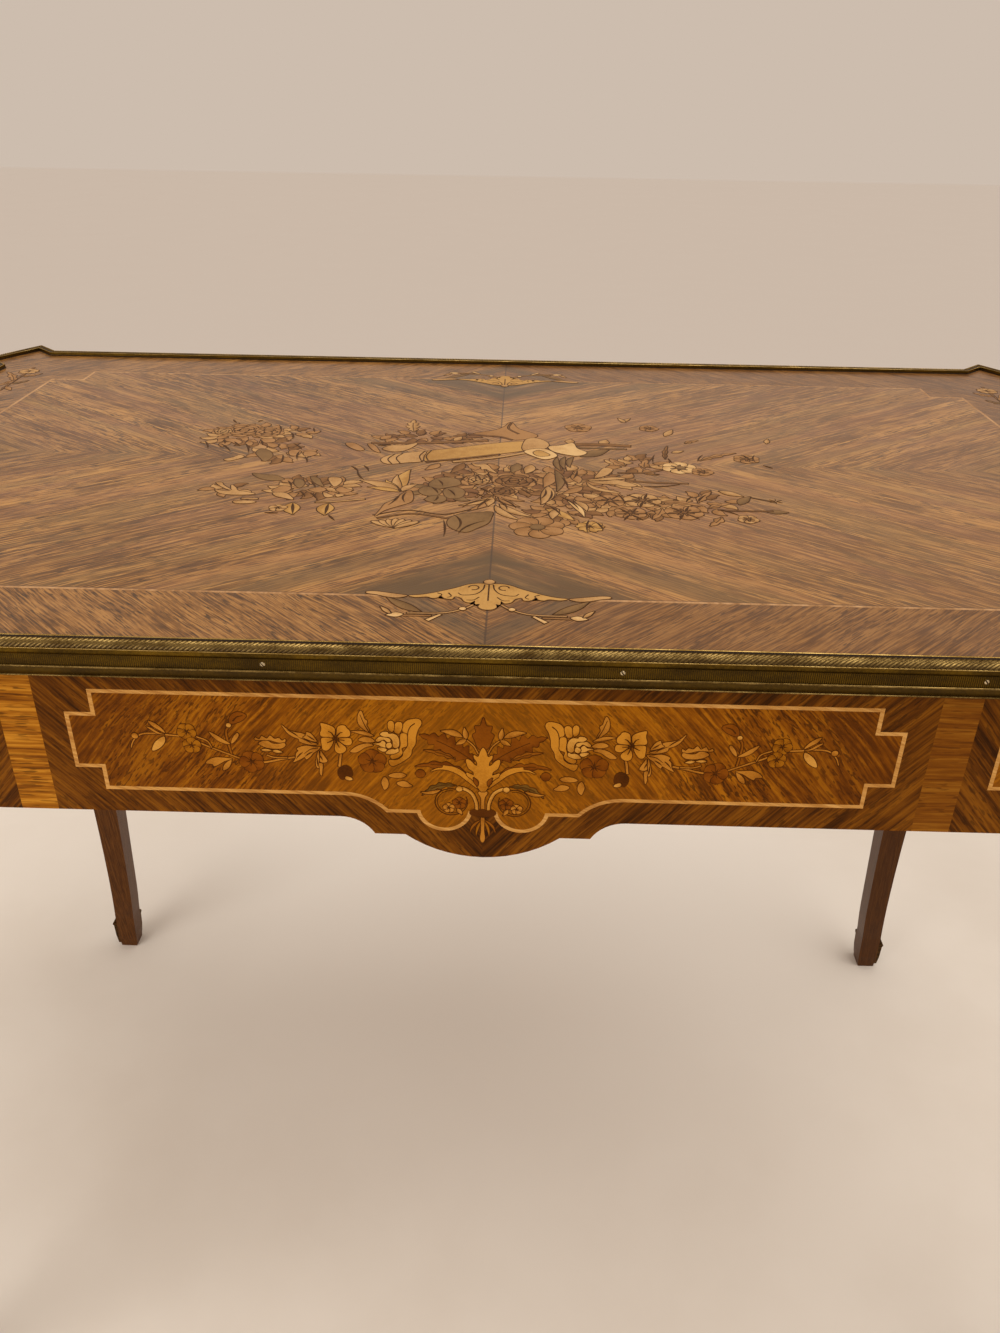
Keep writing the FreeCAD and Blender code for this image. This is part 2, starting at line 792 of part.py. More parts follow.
def side_dovetails(x_low, box_low, box_high):
    """Tails on the front end of a drawer side, let into the back of the drawer front."""
    tail_length = frieze_board - dovetail_lap
    pitch = (box_high - box_low) / dovetail_count
    tails = []
    root = dovetail_root_share * pitch / 2
    tip = root + dovetail_flare
    for number in range(dovetail_count):
        middle = box_low + pitch / 2 + number * pitch
        outline = [
            Vector(x_low, board_back_y, middle - root),
            Vector(x_low, board_back_y + tail_length, middle - tip),
            Vector(x_low, board_back_y + tail_length, middle + tip),
            Vector(x_low, board_back_y, middle + root),
        ]
        tails.append(closed_face(outline).extrude(Vector(drawer_side, 0, 0)))
    return tails


def escutcheon(x):
    """Pointed oval plate round the keyhole, standing on the veneer."""
    eye_z = underside - keyhole_drop + keyhole_diameter / 2 - keyhole_length / 2
    tip = escutcheon_height / 2
    half = escutcheon_width / 2
    upper = Vector(x, frieze_face_y, eye_z + tip)
    lower = Vector(x, frieze_face_y, eye_z - tip)
    right = Vector(x + half, frieze_face_y, eye_z)
    left = Vector(x - half, frieze_face_y, eye_z)
    rim = Part.Wire([Part.Arc(upper, right, lower).toShape(), Part.Arc(lower, left, upper).toShape()])
    return Part.Face(rim).extrude(Vector(0, escutcheon_thickness, 0))


def drawer(name, x_low, x_high, apron):
    """One drawer between two guides, with its lock and keyhole plate."""
    x_middle = (x_low + x_high) / 2
    reach = (x_high - x_low) / 2 - drawer_gap
    side_low, side_high = x_middle - reach, x_middle + reach
    box_low = rail_top + drawer_gap
    box_high = kicker_bottom - drawer_head_room
    box_end = drawer_back_space - board_back_y
    front_top = underside - drawer_gap
    floor_low = box_low + drawer_bottom_raise
    floor_high = floor_low + drawer_bottom

    floor_board = block(side_low + drawer_side - drawer_groove, side_high - drawer_side + drawer_groove,
                        box_end + drawer_back, board_back_y + drawer_groove, floor_low, floor_high)
    tails = [side_dovetails(side_low, box_low, box_high),
             side_dovetails(side_high - drawer_side, box_low, box_high)]
    sides = []
    for x, own_tails in zip((side_low, side_high - drawer_side), tails):
        plank = block(x, x + drawer_side, box_end, board_back_y, box_low, box_high)
        sides.append(plank.fuse(own_tails).cut(floor_board))
    back = block(side_low + drawer_side, side_high - drawer_side, box_end, box_end + drawer_back,
                 box_low, box_high)

    lock_top = box_high - lock_bolt_height
    lock_case = block(x_middle - lock_width / 2, x_middle + lock_width / 2,
                      board_back_y, board_back_y + lock_thickness, lock_top - lock_height, lock_top)
    bolt = block(x_middle - lock_bolt_width / 2, x_middle + lock_bolt_width / 2,
                 board_back_y, board_back_y + lock_thickness, lock_top, lock_top + lock_bolt_height)
    key_way = keyhole(x_middle, board_back_y, frieze_face_y + escutcheon_thickness)
    lock = lock_case.fuse(bolt).removeSplitter()

    # Drawn flat the +X end of a back face comes out at -X, but each front is symmetric
    front = frieze_side(backing_board(reach, front_top, apron), "back", -x_middle)
    for let_in in (*tails[0], *tails[1], floor_board, lock, key_way):
        front = front.cut(let_in)
    save(name + "_drawer_front", front)
    save(name + "_drawer_sides", sides)
    save(name + "_drawer_back", back)
    save(name + "_drawer_bottom", floor_board)
    save(name + "_drawer_lock", lock.cut(key_way))
    save(name + "_drawer_escutcheon", escutcheon(x_middle).cut(key_way))
    layers = veneered_face(reach, front_top, apron)
    save(name + "_drawer_veneer", [frieze_side(layer, "back", -x_middle).cut(key_way) for layer in layers])


os.makedirs("parts", exist_ok=True)
all_screws, all_shanks = kicker_screws()
top_and_rim(all_shanks)
top_veneers()
leg_blank = whole_leg()
legs(leg_blank)
sabots(leg_blank)
front_frieze()
end_friezes()
drawer_frame(all_screws)
glue_blocks()
drawer("left", -stile_inner_x, -band_outer_x, False)
drawer("centre", -band_inner_x, band_inner_x, True)
drawer("right", band_outer_x, stile_inner_x, False)
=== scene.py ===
from math import atan2, ceil, cos, pi, radians, sin, sqrt, tau

import bmesh
import bpy
from mathutils import Matrix, Vector


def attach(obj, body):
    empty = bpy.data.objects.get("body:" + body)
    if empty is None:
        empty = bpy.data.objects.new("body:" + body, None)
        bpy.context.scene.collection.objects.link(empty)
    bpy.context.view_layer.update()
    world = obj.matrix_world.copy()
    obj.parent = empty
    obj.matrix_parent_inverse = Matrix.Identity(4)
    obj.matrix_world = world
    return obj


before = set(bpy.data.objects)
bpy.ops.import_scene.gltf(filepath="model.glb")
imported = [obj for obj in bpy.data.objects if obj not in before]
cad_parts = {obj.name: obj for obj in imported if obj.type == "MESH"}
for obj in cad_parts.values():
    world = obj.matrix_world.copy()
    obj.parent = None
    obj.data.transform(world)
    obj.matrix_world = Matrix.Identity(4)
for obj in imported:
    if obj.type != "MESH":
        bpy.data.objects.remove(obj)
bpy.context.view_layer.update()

# Looks of the marquetry writing table. Lengths of the object are in millimetres here and are
# turned into metres when a mesh is made. Left is -X, the show side is -Y, the drawers open to +Y.

MM = 0.001
DRAWERS = ("left", "centre", "right")
CORNERS = ("front_left", "front_right", "back_left", "back_right")

# Camera of the photograph, for a picture 1000 wide and 1333 high
picture_size = (1000, 1333)
focal_pixels = 1056.43
camera_pitch = radians(29.47)
camera_yaw = radians(-0.91)
camera_roll = radians(0.95)
camera_place = Vector((0.0156, -0.765, 1.0224))

# Plan of the rim's outermost line
half_length = 487.0
half_depth = 304.5
ear_projection = 23.5
long_ear_setback = 11.0
end_ear_setback = 38.0

# Rim ornament: heights, distances back from the outermost line, pitches, and the places of the pins
bead_centre_in = 3.6
bead_low = 766.8
bead_radius = 3.2
gadroon_pitch = 2.6
gadroon_slant = 8.5
gadroon_rise = 0.8
gadroon_step = 0.5
reed_low = 756.5
reed_high = 762.7
reed_face_in = 0.9
reed_pitch = 1.05
reed_rise = 0.45
pin_spacing = 181.5
pin_offset = 70.0
pin_height = 0.5 * (reed_low + reed_high)
pin_end_x = 480.0
pin_slot_angle = -52.0
pin_slot = (0.28, 0.42)
pin_edge = (1.15, 1.5)
lip_in = 7.9
lip_round = 0.5
groove_in = 6.7
groove_width = 2.0
rim_top = 770.0
fillet_reach = 0.35
base_fillet = (755.2, 756.4)
bead_fillet = (766.1, 766.7)
foot_fillet = (750.3, 751.1)
# Dark line of old wax and painted shade in the angle between the veneer and the brass
dark_line_spread = 0.9
dark_line_hollow = 0.2
dark_line_depth = 0.5
dark_line_height = 1.0
round_steps = 12
fillet_steps = 8
plain_spacing = 200.0

# Grain angles of the sheets, in degrees
top_grain = 37
top_border_grain = -45
panel_grain = -50
frieze_border_grain = 50

# Veneered faces
top_surface = 767.0
frieze_top = 750.4
frieze_bottom = 661.2
frieze_face_y = 298.6
frieze_face_x = 481.1
centre_reach = 235.4
flank_reach = 90.4
flank_middle = 346.2
end_reach = 227.1
panel_split_x = 245.6
top_string_y = 236.0
top_saw_y = 234.4
bouquet_back = 6.4
string_inset = 15.6
string_top_inset = 12.0
string_half = 1.1
panel_notch = 14.3
lunette_outer_x = 76.0
lunette_shelf_x = 52.5
lunette_shelf_rise = 4.6
lunette_start_x = 35.3
lunette_depth = 11.8
lunette_tie_x = 7.0

# Inlay: depth sunk in the veneer, how far each layer and each piece over another stands proud, and how
# finely pieces are drawn
inlay_sink = 0.3
inlay_rise = 0.05
step_rise = 0.0012
layer_steps = 45
layer_rise = layer_steps * step_rise
fret_drop = 0.5 * step_rise
blade_steps = 10
thinnest = 0.03
golden_turn = 2.4


# Material helpers

class Field:
    """A varying number or colour in a material: arithmetic on it adds math nodes."""

    def __init__(self, finish, socket):
        self.finish = finish
        self.socket = socket

    def math(self, operation, *terms):
        return self.finish.node("ShaderNodeMath", {"operation": operation}, dict(enumerate(terms)))

    def __add__(self, other):
        return self.math("ADD", self, other)

    def __radd__(self, other):
        return self.math("ADD", other, self)

    def __sub__(self, other):
        return self.math("SUBTRACT", self, other)

    def __rsub__(self, other):
        return self.math("SUBTRACT", other, self)

    def __mul__(self, other):
        return self.math("MULTIPLY", self, other)

    def __rmul__(self, other):
        return self.math("MULTIPLY", other, self)

    def __gt__(self, other):
        return self.math("GREATER_THAN", self, other)

    def size(self):
        return self.math("ABSOLUTE", self)

    def between(self, low, high, kind="SMOOTHSTEP"):
        """0 below low, 1 above high, smooth or LINEAR between them."""
        sockets = {"Value": self, "From Min": low, "From Max": high}
        return self.finish.node("ShaderNodeMapRange", {"interpolation_type": kind}, sockets)


class Finish:
    """Node tree of one material."""

    def __init__(self, name):
        self.material = bpy.data.materials.new(name)
        self.material.use_nodes = True
        self.tree = self.material.node_tree
        self.tree.nodes.clear()

    def node(self, kind, settings, sockets, output=0):
        made = self.tree.nodes.new(kind)
        for name, value in settings.items():
            setattr(made, name, value)
        for key, value in sockets.items():
            if isinstance(value, Field):
                self.tree.links.new(value.socket, made.inputs[key])
            else:
                made.inputs[key].default_value = value
        return Field(self, made.outputs[output]) if made.outputs else None

    def place(self):
        """Where a surface point is on the table at rest, as x, y and z in millimetres."""
        point = self.node("ShaderNodeTexCoord", {}, {}, "Object")
        return [self.node("ShaderNodeSeparateXYZ", {}, {0: point}, axis) * 1000 for axis in range(3)]

    def noise(self, x, y, z, detail=3.0, roughness=0.55):
        point = self.node("ShaderNodeCombineXYZ", {}, {0: x, 1: y, 2: z})
        return self.node("ShaderNodeTexNoise", {},
                         {"Vector": point, "Scale": 1.0, "Detail": detail, "Roughness": roughness})

    def mix(self, share, first, second):
        return self.node("ShaderNodeMix", {"data_type": "RGBA"}, {0: share, 6: first, 7: second}, 2)

    def bump(self, height, strength, distance):
        return self.node("ShaderNodeBump", {},
                         {"Strength": strength, "Distance": distance, "Height": height})

    def surface(self, **sockets):
        """Ends the material with one principled surface."""
        named = {key.replace("_", " ").title(): value for key, value in sockets.items()}
        if "Specular Ior Level" in named:
            named["Specular IOR Level"] = named.pop("Specular Ior Level")
        shader = self.node("ShaderNodeBsdfPrincipled", {}, named)
        self.node("ShaderNodeOutputMaterial", {}, {"Surface": shader})
        return self.material


def tint(red, green, blue):
    """A colour as it is seen, 0 to 255, as the linear colour a material takes."""
    shares = [value / 255 for value in (red, green, blue)]
    return tuple(s / 12.92 if s <= 0.04045 else ((s + 0.055) / 1.055) ** 2.4 for s in shares) + (1.0,)


# Woods

SHELLAC = (1.0, 0.8, 0.52, 1.0)


def timber(finish, along, across, depth, shades, grain=0.5, figure=0.4, fibre=0.9, dash=8.0, dashes=0.6,
           polish=0.2, shine=0.3, spread=0.17, covers=()):
    """Polished wood with its grain along one direction. shades are dark, middle and light; dash is the
    length of the dark pores; a small spread gives strong grain; covers are (share, colour) pairs laid
    over, such as a stain, a joint, or painted shade on one side of the table."""
    dark, middle, light = shades
    black = tuple(0.4 * channel for channel in dark[:3]) + (1.0,)
    sway = finish.noise(along * 0.005, across * 0.015, depth, 1.0)
    bent = across + sway * 14
    broad = finish.noise(along * 0.004, bent * 0.022, depth + 9, 2.0)
    bands = finish.noise(along * 0.003, bent * 0.2, depth, 3.0, 0.6)
    mottle = finish.noise(along * 0.035, bent * 0.11, depth + 2, 3.0, 0.6)
    fibres = finish.noise(along * 0.022, bent * 0.6, depth, 3.0, 0.6)
    weights = 0.4 + grain + figure + fibre
    tone = broad * 0.4 + bands * grain + mottle * figure + fibres * fibre + (0.5 - 0.5 * weights)
    colour = finish.mix(tone.between(0.5 - spread, 0.5, "LINEAR"), dark, middle)
    colour = finish.mix(tone.between(0.5, 0.5 + spread, "LINEAR"), colour, light)
    crowd = finish.noise(along * 0.012, bent * 0.05, depth + 5, 2.0).between(0.3, 0.56)
    pore = finish.noise(along * (0.5 / dash), bent * 0.7, depth + 3, 1.0).between(0.55, 0.62) * crowd
    colour = finish.mix(pore * dashes, colour, black)
    for share, stain in covers:
        colour = finish.mix(share, colour, stain)
    rub = finish.noise(along * 0.02, across * 0.02, depth + 3, 3.0)
    relief = finish.bump(fibres * 0.5 - pore, 0.25, 0.0001)
    return finish.surface(base_color=colour, roughness=rub * 0.16 + 0.3, coat_weight=rub * polish,
                          coat_roughness=0.2, specular_ior_level=shine, specular_tint=SHELLAC,
                          normal=relief)


def turned(u, v, angle):
    """The two directions u and v turned, so that the first runs along the grain."""
    along = u * cos(radians(angle)) + v * sin(radians(angle))
    across = v * cos(radians(angle)) - u * sin(radians(angle))
    return along, across


def near(field, middle, core, fade):
    """1 where a field is within core of a value, falling to 0 at fade."""
    return 1 - (field - middle).size().between(core, fade)


def joint_line(x):
    """Share and colour of the dark open joint on the middle line of the top."""
    return near(x, 0, 0.3, 0.8) * 0.75, tint(62, 40, 22)


def top_field_wood():
    """Four sheets matched about both centre lines, their grain running out from the centre."""
    finish = Finish("kingwood_quarters")
    x, y, z = finish.place()
    along, across = turned(x.size(), y.size(), top_grain)
    sheet = (x > 0) * 0.12 + (y > 0) * 0.2
    patchy = finish.noise(along * 0.012, across * 0.05, sheet, 2.0).between(0.15, 0.45)
    by_joint = 1 - x.size().between(10, 170) * 0.7
    dark_wedge = near(across, 156, 10, 30) * by_joint
    thin_streak = near(across, 104, 2, 14) * 0.35
    end_streak = near(across, -216, 5, 30) * 0.4
    grey = dark_wedge + thin_streak + end_streak
    pink = finish.noise(along * 0.004, across * 0.03, sheet + 20, 2.0).between(0.48, 0.64)
    olive = finish.noise(along * 0.006, across * 0.04, sheet + 30, 2.0).between(0.5, 0.66)
    shades = (tint(91, 55, 16), tint(144, 98, 43), tint(182, 132, 68))
    stripe = finish.noise(along * 0.002, across * 0.075, sheet + 40, 2.0).between(0.46, 0.6)
    saw_line = near(y.size(), top_saw_y, 0.2, 0.6)
    covers = (
        ((x > 0) * 0.14, tint(196, 146, 94)), (stripe * 0.34, tint(108, 68, 34)),
        (saw_line * 0.7, tint(66, 40, 20)),
        (pink * 0.3, tint(142, 92, 58)), (olive * 0.3, tint(138, 106, 56)),
        (grey * patchy, tint(86, 62, 30)), joint_line(x),
    )
    return timber(finish, along * 1.3, across * 1.3, sheet, shades, fibre=1.2, dashes=1.0, polish=0.6,
                  spread=0.115, covers=covers)


def top_border_wood():
    """Border of the top, its grain slanting out from the centre lines, its right half painted darker as
    painted shade.
    """
    finish = Finish("kingwood_top_border")
    x, y, z = finish.place()
    along, across = turned(x.size(), y.size(), top_border_grain)
    shades = (tint(85, 52, 17), tint(134, 89, 39), tint(166, 118, 60))
    grey = near(across, 201, 3, 12) * 0.6
    # The first cover is painted shade: the right half darkened, as if the light fell from the left.
    covers = (
        ((x > 0) * 0.36, tint(104, 64, 28)), (grey, tint(78, 62, 42)), joint_line(x),
    )
    return timber(finish, along * 1.6, across * 1.4, (x > 0) * 0.15 + 4, shades, grain=0.4, fibre=1.2,
                  dashes=0.85, polish=0.6, spread=0.15, covers=covers)


def panel_place(finish, by_end):
    """Distance from the middle line of the panel that a frieze point is in, and its height."""
    x, y, z = finish.place()
    if by_end:
        return y.size(), z, (y > 0) * 0.3
    flank = x.size() > panel_split_x
    return (x.size() - flank * flank_middle).size(), z, (x > 0) * 0.3 + flank


def panel_wood(name, by_end):
    """Golden sheets matched about the middle of a panel, where they are lightest."""
    finish = Finish(name)
    out, z, sheet = panel_place(finish, by_end)
    along, across = turned(out, z, panel_grain)
    shades = (tint(86, 42, 1), tint(128, 70, 2), tint(164, 100, 9))
    covers = (
        (near(out, 0, 20, 150) * 0.4, tint(160, 98, 6)),
        (near(out, 216, 20, 90) * 0.35, tint(88, 44, 2)),
    )
    return timber(finish, along * 2, across * 1.1, sheet + 7, shades, grain=0.45, fibre=0.8, dash=5.0,
                  dashes=0.75, polish=0.04, shine=0.08, spread=0.15, covers=covers)


def border_wood(name, by_end):
    """Dark border of the frieze, its grain slanting against the panels'."""
    finish = Finish(name)
    out, z, sheet = panel_place(finish, by_end)
    along, across = turned(out, z, frieze_border_grain)
    shades = (tint(52, 24, 1), tint(94, 50, 3), tint(128, 76, 10))
    return timber(finish, along, across, sheet + 11, shades, grain=0.6, dash=4.0, dashes=0.45,
                  polish=0.04, shine=0.08, spread=0.21)


def band_wood():
    """Upright bands with level grain; the one on the right is painted darker, as painted shade from a light
    on the left.
    """
    finish = Finish("satinwood_bands")
    x, y, z = finish.place()
    shades = (tint(110, 60, 6), tint(156, 95, 16), tint(190, 128, 36))
    # Painted shade: the right band darkened, as if the light came from the left.
    covers = (((x > 0) * 0.6, tint(96, 50, 4)),)
    return timber(finish, x, z, 2.0, shades, dash=6.0, dashes=0.7, polish=0.04, shine=0.08, covers=covers)


def string_wood(name, shades):
    """Light plain strings."""
    finish = Finish(name)
    x, y, z = finish.place()
    return timber(finish, x + y, z + x * 0.3, 5.0, shades, grain=0.2, dashes=0.1, polish=0.04, shine=0.1)


def leg_wood():
    """Dark upright grain; the legs on the right are painted darker, as painted shade."""
    finish = Finish("dark_leg_wood")
    x, y, z = finish.place()
    shades = (tint(52, 25, 4), tint(86, 48, 13), tint(112, 69, 26))
    # Painted shade: the legs on the right darkened, as if the light came from the left.
    covers = (((x > 0) * 0.4, tint(52, 24, 4)),)
    return timber(finish, z, x + y, x - y, shades, dashes=0.4, polish=0.2, shine=0.12, spread=0.24,
                  covers=covers)


def oak(name, along_x):
    """Bare carcase wood, its grain along the length or the depth of the table."""
    finish = Finish(name)
    x, y, z = finish.place()
    along, across = (x, y + z) if along_x else (y, x + z)
    shades = (tint(120, 84, 48), tint(158, 116, 70), tint(182, 140, 90))
    return timber(finish, along, across, z * 0.05, shades, polish=0.0, shine=0.2)


def inlay_wood(name, shades):
    """A small inlaid piece: plain grain, darkened by hot sand towards one side."""
    finish = Finish("inlay_" + name)
    x, y, z = finish.place()
    dark, light = shades
    grain = finish.noise(x * 0.9 + z * 0.4, y * 0.25 + z * 0.9, x * 0.05, 3.0)
    patch = finish.noise(x * 0.12, y * 0.12, z * 0.12, 2.0)
    scorch = finish.node("ShaderNodeAttribute", {"attribute_name": "shade"}, {}, "Fac")
    tone = grain * 0.5 + patch * 0.6 - scorch * 0.45
    colour = finish.mix(tone.between(0.05, 0.62), dark, light)
    return finish.surface(base_color=colour, roughness=grain * 0.2 + 0.3, coat_weight=patch * 0.05,
                          coat_roughness=0.2, specular_ior_level=0.06, specular_tint=SHELLAC)


FRIEZE_INLAY = {
    "boxwood": (tint(166, 108, 34), tint(206, 150, 66)),
    "satinwood": (tint(152, 92, 14), tint(194, 130, 38)),
    "pearwood": (tint(146, 88, 20), tint(184, 122, 40)),
    "tulipwood": (tint(124, 70, 3), tint(158, 98, 12)),
    "walnut": (tint(116, 62, 4), tint(144, 84, 12)),
    "rosewood": (tint(102, 50, 2), tint(130, 70, 5)),
    "harewood": (tint(86, 58, 16), tint(116, 82, 28)),
    "ebonised": (tint(58, 27, 1), tint(84, 42, 3)),
}
TOP_INLAY = {
    "holly": (tint(192, 150, 96), tint(218, 180, 124)),
    "boxwood": (tint(158, 116, 68), tint(190, 148, 96)),
    "satinwood": (tint(164, 120, 62), tint(192, 148, 84)),
    "pearwood": (tint(144, 102, 58), tint(168, 124, 78)),
    "walnut": (tint(108, 72, 38), tint(136, 96, 56)),
    "rosewood": (tint(104, 70, 42), tint(130, 90, 56)),
    "harewood": (tint(108, 80, 48), tint(134, 102, 64)),
    "ebonised": (tint(58, 34, 12), tint(82, 52, 24)),
}


# Metals

def metal(name, dark, bright, rough, wear_scale, darker_below=0.0):
    """Old metal: patina in clouds, rubbed bright between them, red-brown dirt in its hollows, red-brown
    painted shade where its mesh asks for it, and darker red-brown below one height."""
    finish = Finish(name)
    x, y, z = finish.place()
    clouds = finish.noise(x * wear_scale, y * wear_scale, z * wear_scale * 3, 4.0, 0.65)
    grit = finish.noise(x * 0.8, y * 0.8, z * 0.8, 2.0)
    worn = (clouds * 0.8 + grit * 0.3).between(0.4, 0.75)
    # The shade attribute carries dirt in the hollows and, on the bead, painted shade on its lower half.
    hollow_dirt_and_shade = finish.node("ShaderNodeAttribute", {"attribute_name": "shade"}, {}, "Fac")
    # Below one height the metal turns darker red-brown.
    low = 1 - z.between(darker_below - 0.5, darker_below + 0.5)
    dirt_and_shade = (hollow_dirt_and_shade + low * 0.5).between(0, 1)
    colour = finish.mix(dirt_and_shade * 0.9, finish.mix(worn, dark, bright), tint(46, 28, 2))
    relief = finish.bump(grit, 0.15, 0.0002)
    return finish.surface(base_color=colour, metallic=worn * 0.25 + 0.75 - dirt_and_shade * 0.5,
                          roughness=rough - worn * 0.16 + dirt_and_shade * 0.2, specular_tint=SHELLAC, normal=relief)


def pin_metal():
    """Round brass heads in the reeded band, each with a dark slot across it and a dark edge."""
    finish = Finish("pin_brass")
    x, y, z = finish.place()
    on_end = x.size() > pin_end_x
    from_first = x * y.math("SIGN", y) * -1 - pin_offset
    run = from_first + (y - from_first) * on_end
    out = run.math("WRAP", run, pin_spacing / 2, -pin_spacing / 2)
    up = z - pin_height
    slot = near(turned(out, up, pin_slot_angle)[1], 0, *pin_slot)
    edge = (out * out + up * up).between(pin_edge[0] ** 2, pin_edge[1] ** 2)
    dark = (slot + edge).between(0, 1)
    colour = finish.mix(dark, tint(206, 188, 152), tint(36, 20, 3))
    return finish.surface(base_color=colour, metallic=0.9 - dark * 0.5, roughness=0.26 + dark * 0.3,
                          specular_tint=SHELLAC)


def floor_finish():
    """Pale floor with a painted pool of light behind the table, darker far off."""
    finish = Finish("pale_floor")
    x, y, z = finish.place()
    mottle = finish.noise(x * 0.004, y * 0.004, 0.0, 5.0)
    near_reach, middle_reach, far_reach = 150, 600, 3000
    # Painted light: a lighter pool centred behind the table, fading out by middle_reach.
    behind = y - 420
    beside = (x * x + behind * behind).between(near_reach ** 2, middle_reach ** 2)
    away = (x * x + y * y).between(middle_reach ** 2, far_reach ** 2)
    colour = finish.mix(mottle.between(0.3, 0.7), tint(219, 212, 203), tint(225, 219, 211))
    colour = finish.mix(beside, tint(235, 231, 225), colour)
    colour = finish.mix(away, colour, tint(199, 191, 184))
    return finish.surface(base_color=colour, roughness=mottle * 0.2 + 0.6)


# Mesh helpers

def solid(name, vertices, faces, shades, material, body, smooth=False):
    """A closed mesh from points in millimetres, each with its shade, riding on one body of the table."""
    mesh = bpy.data.meshes.new(name)
    mesh.from_pydata([Vector(v) * MM for v in vertices], [], faces)
    work = bmesh.new()
    work.from_mesh(mesh)
    bmesh.ops.recalc_face_normals(work, faces=work.faces)
    work.to_mesh(mesh)
    work.free()
    mesh.polygons.foreach_set("use_smooth", [smooth] * len(mesh.polygons))
    mesh.materials.append(material)
    made = bpy.data.objects.new(name, mesh)
    bpy.context.scene.collection.objects.link(made)
    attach(made, body)
    shade = mesh.attributes.new("shade", "FLOAT", "POINT")
    shade.data.foreach_set("value", shades)


# Rim ornament

def rim_corners():
    """Plan corners of the rim's outermost line, counter-clockwise from the +X, +Y corner."""
    end_ear_y = half_depth - end_ear_setback
    long_ear_x = half_length - long_ear_setback
    quarter = [
        (half_length, end_ear_y - ear_projection),
        (half_length + ear_projection, end_ear_y),
        (long_ear_x, half_depth + ear_projection),
        (long_ear_x - ear_projection, half_depth),
    ]
    corners = []
    for sign_x, sign_y in ((1, 1), (-1, 1), (-1, -1), (1, -1)):
        run = quarter if sign_x * sign_y > 0 else quarter[::-1]
        corners += [Vector((sign_x * x, sign_y * y)) for x, y in run]
    return corners


def mitres(corners):
    """For each corner, how far it moves when the outline grows by one millimetre."""
    moves = []
    for before, here, after in zip(corners[-1:] + corners[:-1], corners, corners[1:] + corners[:1]):
        arriving = (here - before).normalized()
        leaving = (after - here).normalized()
        normal_in = Vector((arriving.y, -arriving.x))
        normal_out = Vector((leaving.y, -leaving.x))
        moves.append((normal_in + normal_out) / (1 + normal_in.dot(normal_out)))
    return moves


def rim_ring(name, section_at, spacing, material, smooth):
    """A closed ring round the table. section_at gives (outward, height, dirt and painted shade) points at a
    distance run.
    """
    corners = rim_corners()
    moves = mitres(corners)
    vertices = []
    dirt_and_shade_values = []
    run = 0.0
    next_corners = corners[1:] + corners[:1]
    next_moves = moves[1:] + moves[:1]
    for here, move, after, after_move in zip(corners, moves, next_corners, next_moves):
        length = (after - here).length
        steps = ceil(length / spacing)
        for step in range(steps):
            share = step / steps
            for out, z, dirt_and_shade in section_at(run + share * length):
                point = (here + move * out).lerp(after + after_move * out, share)
                vertices.append((point.x, point.y, z))
                dirt_and_shade_values.append(dirt_and_shade)
        run += length
    points = len(section_at(0.0))
    sections = len(vertices) // points
    faces = []
    for section in range(sections):
        low = section * points
        high = (section + 1) % sections * points
        for point in range(points):
            beside = (point + 1) % points
            faces.append((low + point, low + beside, high + beside, high + point))
    solid(name, vertices, faces, dirt_and_shade_values, material, "table", smooth)


def gadroon_section(run):
    """The bead's quarter round with slanting lobes, closed through the bead's centre; dirt in the lobes'
    hollows and painted shade on its lower half.
    """
    points = [(-bead_centre_in, bead_low, 1.0)]
    for step in range(round_steps + 1):
        share = step / round_steps
        lobe = abs(sin(pi * (run - gadroon_slant * share) / gadroon_pitch))
        radius = bead_radius + gadroon_rise * lobe
        angle = share * pi / 2
        # Dirt in the hollows of the lobes, plus painted shade that darkens the lower half of the round.
        dirt_and_shade = (1 - lobe) ** 2 + 0.7 * max(0.0, 1 - 2 * share)
        points.append((radius * cos(angle) - bead_centre_in, bead_low + radius * sin(angle), dirt_and_shade))
    return points


def box_section(back, face, low, high, dirt_and_shade=0.0):
    """A plain square section."""
    return [(back, low, dirt_and_shade), (face, low, dirt_and_shade), (face, high, dirt_and_shade), (back, high, dirt_and_shade)]


def reed_section(run):
    """Upright ribs standing on the reeded band."""
    rib = abs(sin(pi * run / reed_pitch))
    back = -reed_face_in - inlay_sink
    face = rib * reed_rise + inlay_rise - reed_face_in
    return box_section(back, face, reed_low, reed_high, 1 - rib)


def fillet_section(low, high):
    """A thin round fillet along the face of the rim."""
    half = (high - low) / 2
    points = [(-bead_centre_in, high, 0.0), (-bead_centre_in, low, 0.0)]
    for step in range(fillet_steps + 1):
        angle = pi * (step / fillet_steps - 0.5)
        points.append((half * cos(angle) + fillet_reach - half, low + half + half * sin(angle), 0.0))
    return points


def lip_section():
    """The rounded inner edge of the brass, which catches the light."""
    points = []
    for step in range(round_steps):
        angle = tau * step / round_steps
        out = lip_round * cos(angle) - lip_in + lip_round
        points.append((out, rim_top - 0.4 * lip_round + lip_round * sin(angle), 0.0))
    return points


def groove_shade_section():
    """Painted shade: a flat dark strip between the rounded inner edge and the bead, standing for the shade
    of a groove.
    """
    return box_section(-groove_in, groove_width - groove_in, rim_top - inlay_sink, rim_top + inlay_rise)


def wax_and_shade_line_section():
    """Old wax and dirt, with painted shade, in the angle between the veneer and the brass."""
    edge = -lip_in - dark_line_spread
    back = -lip_in + dark_line_depth
    low = top_surface - inlay_sink
    high = top_surface + dark_line_height
    return [
        (edge, low, 0.0), (edge, top_surface + inlay_rise, 0.0),
        (-lip_in - dark_line_hollow, top_surface + dark_line_height / 2, 0.0), (-lip_in - inlay_rise, high, 0.0),
        (back, high, 0.0), (back, low, 0.0),
    ]


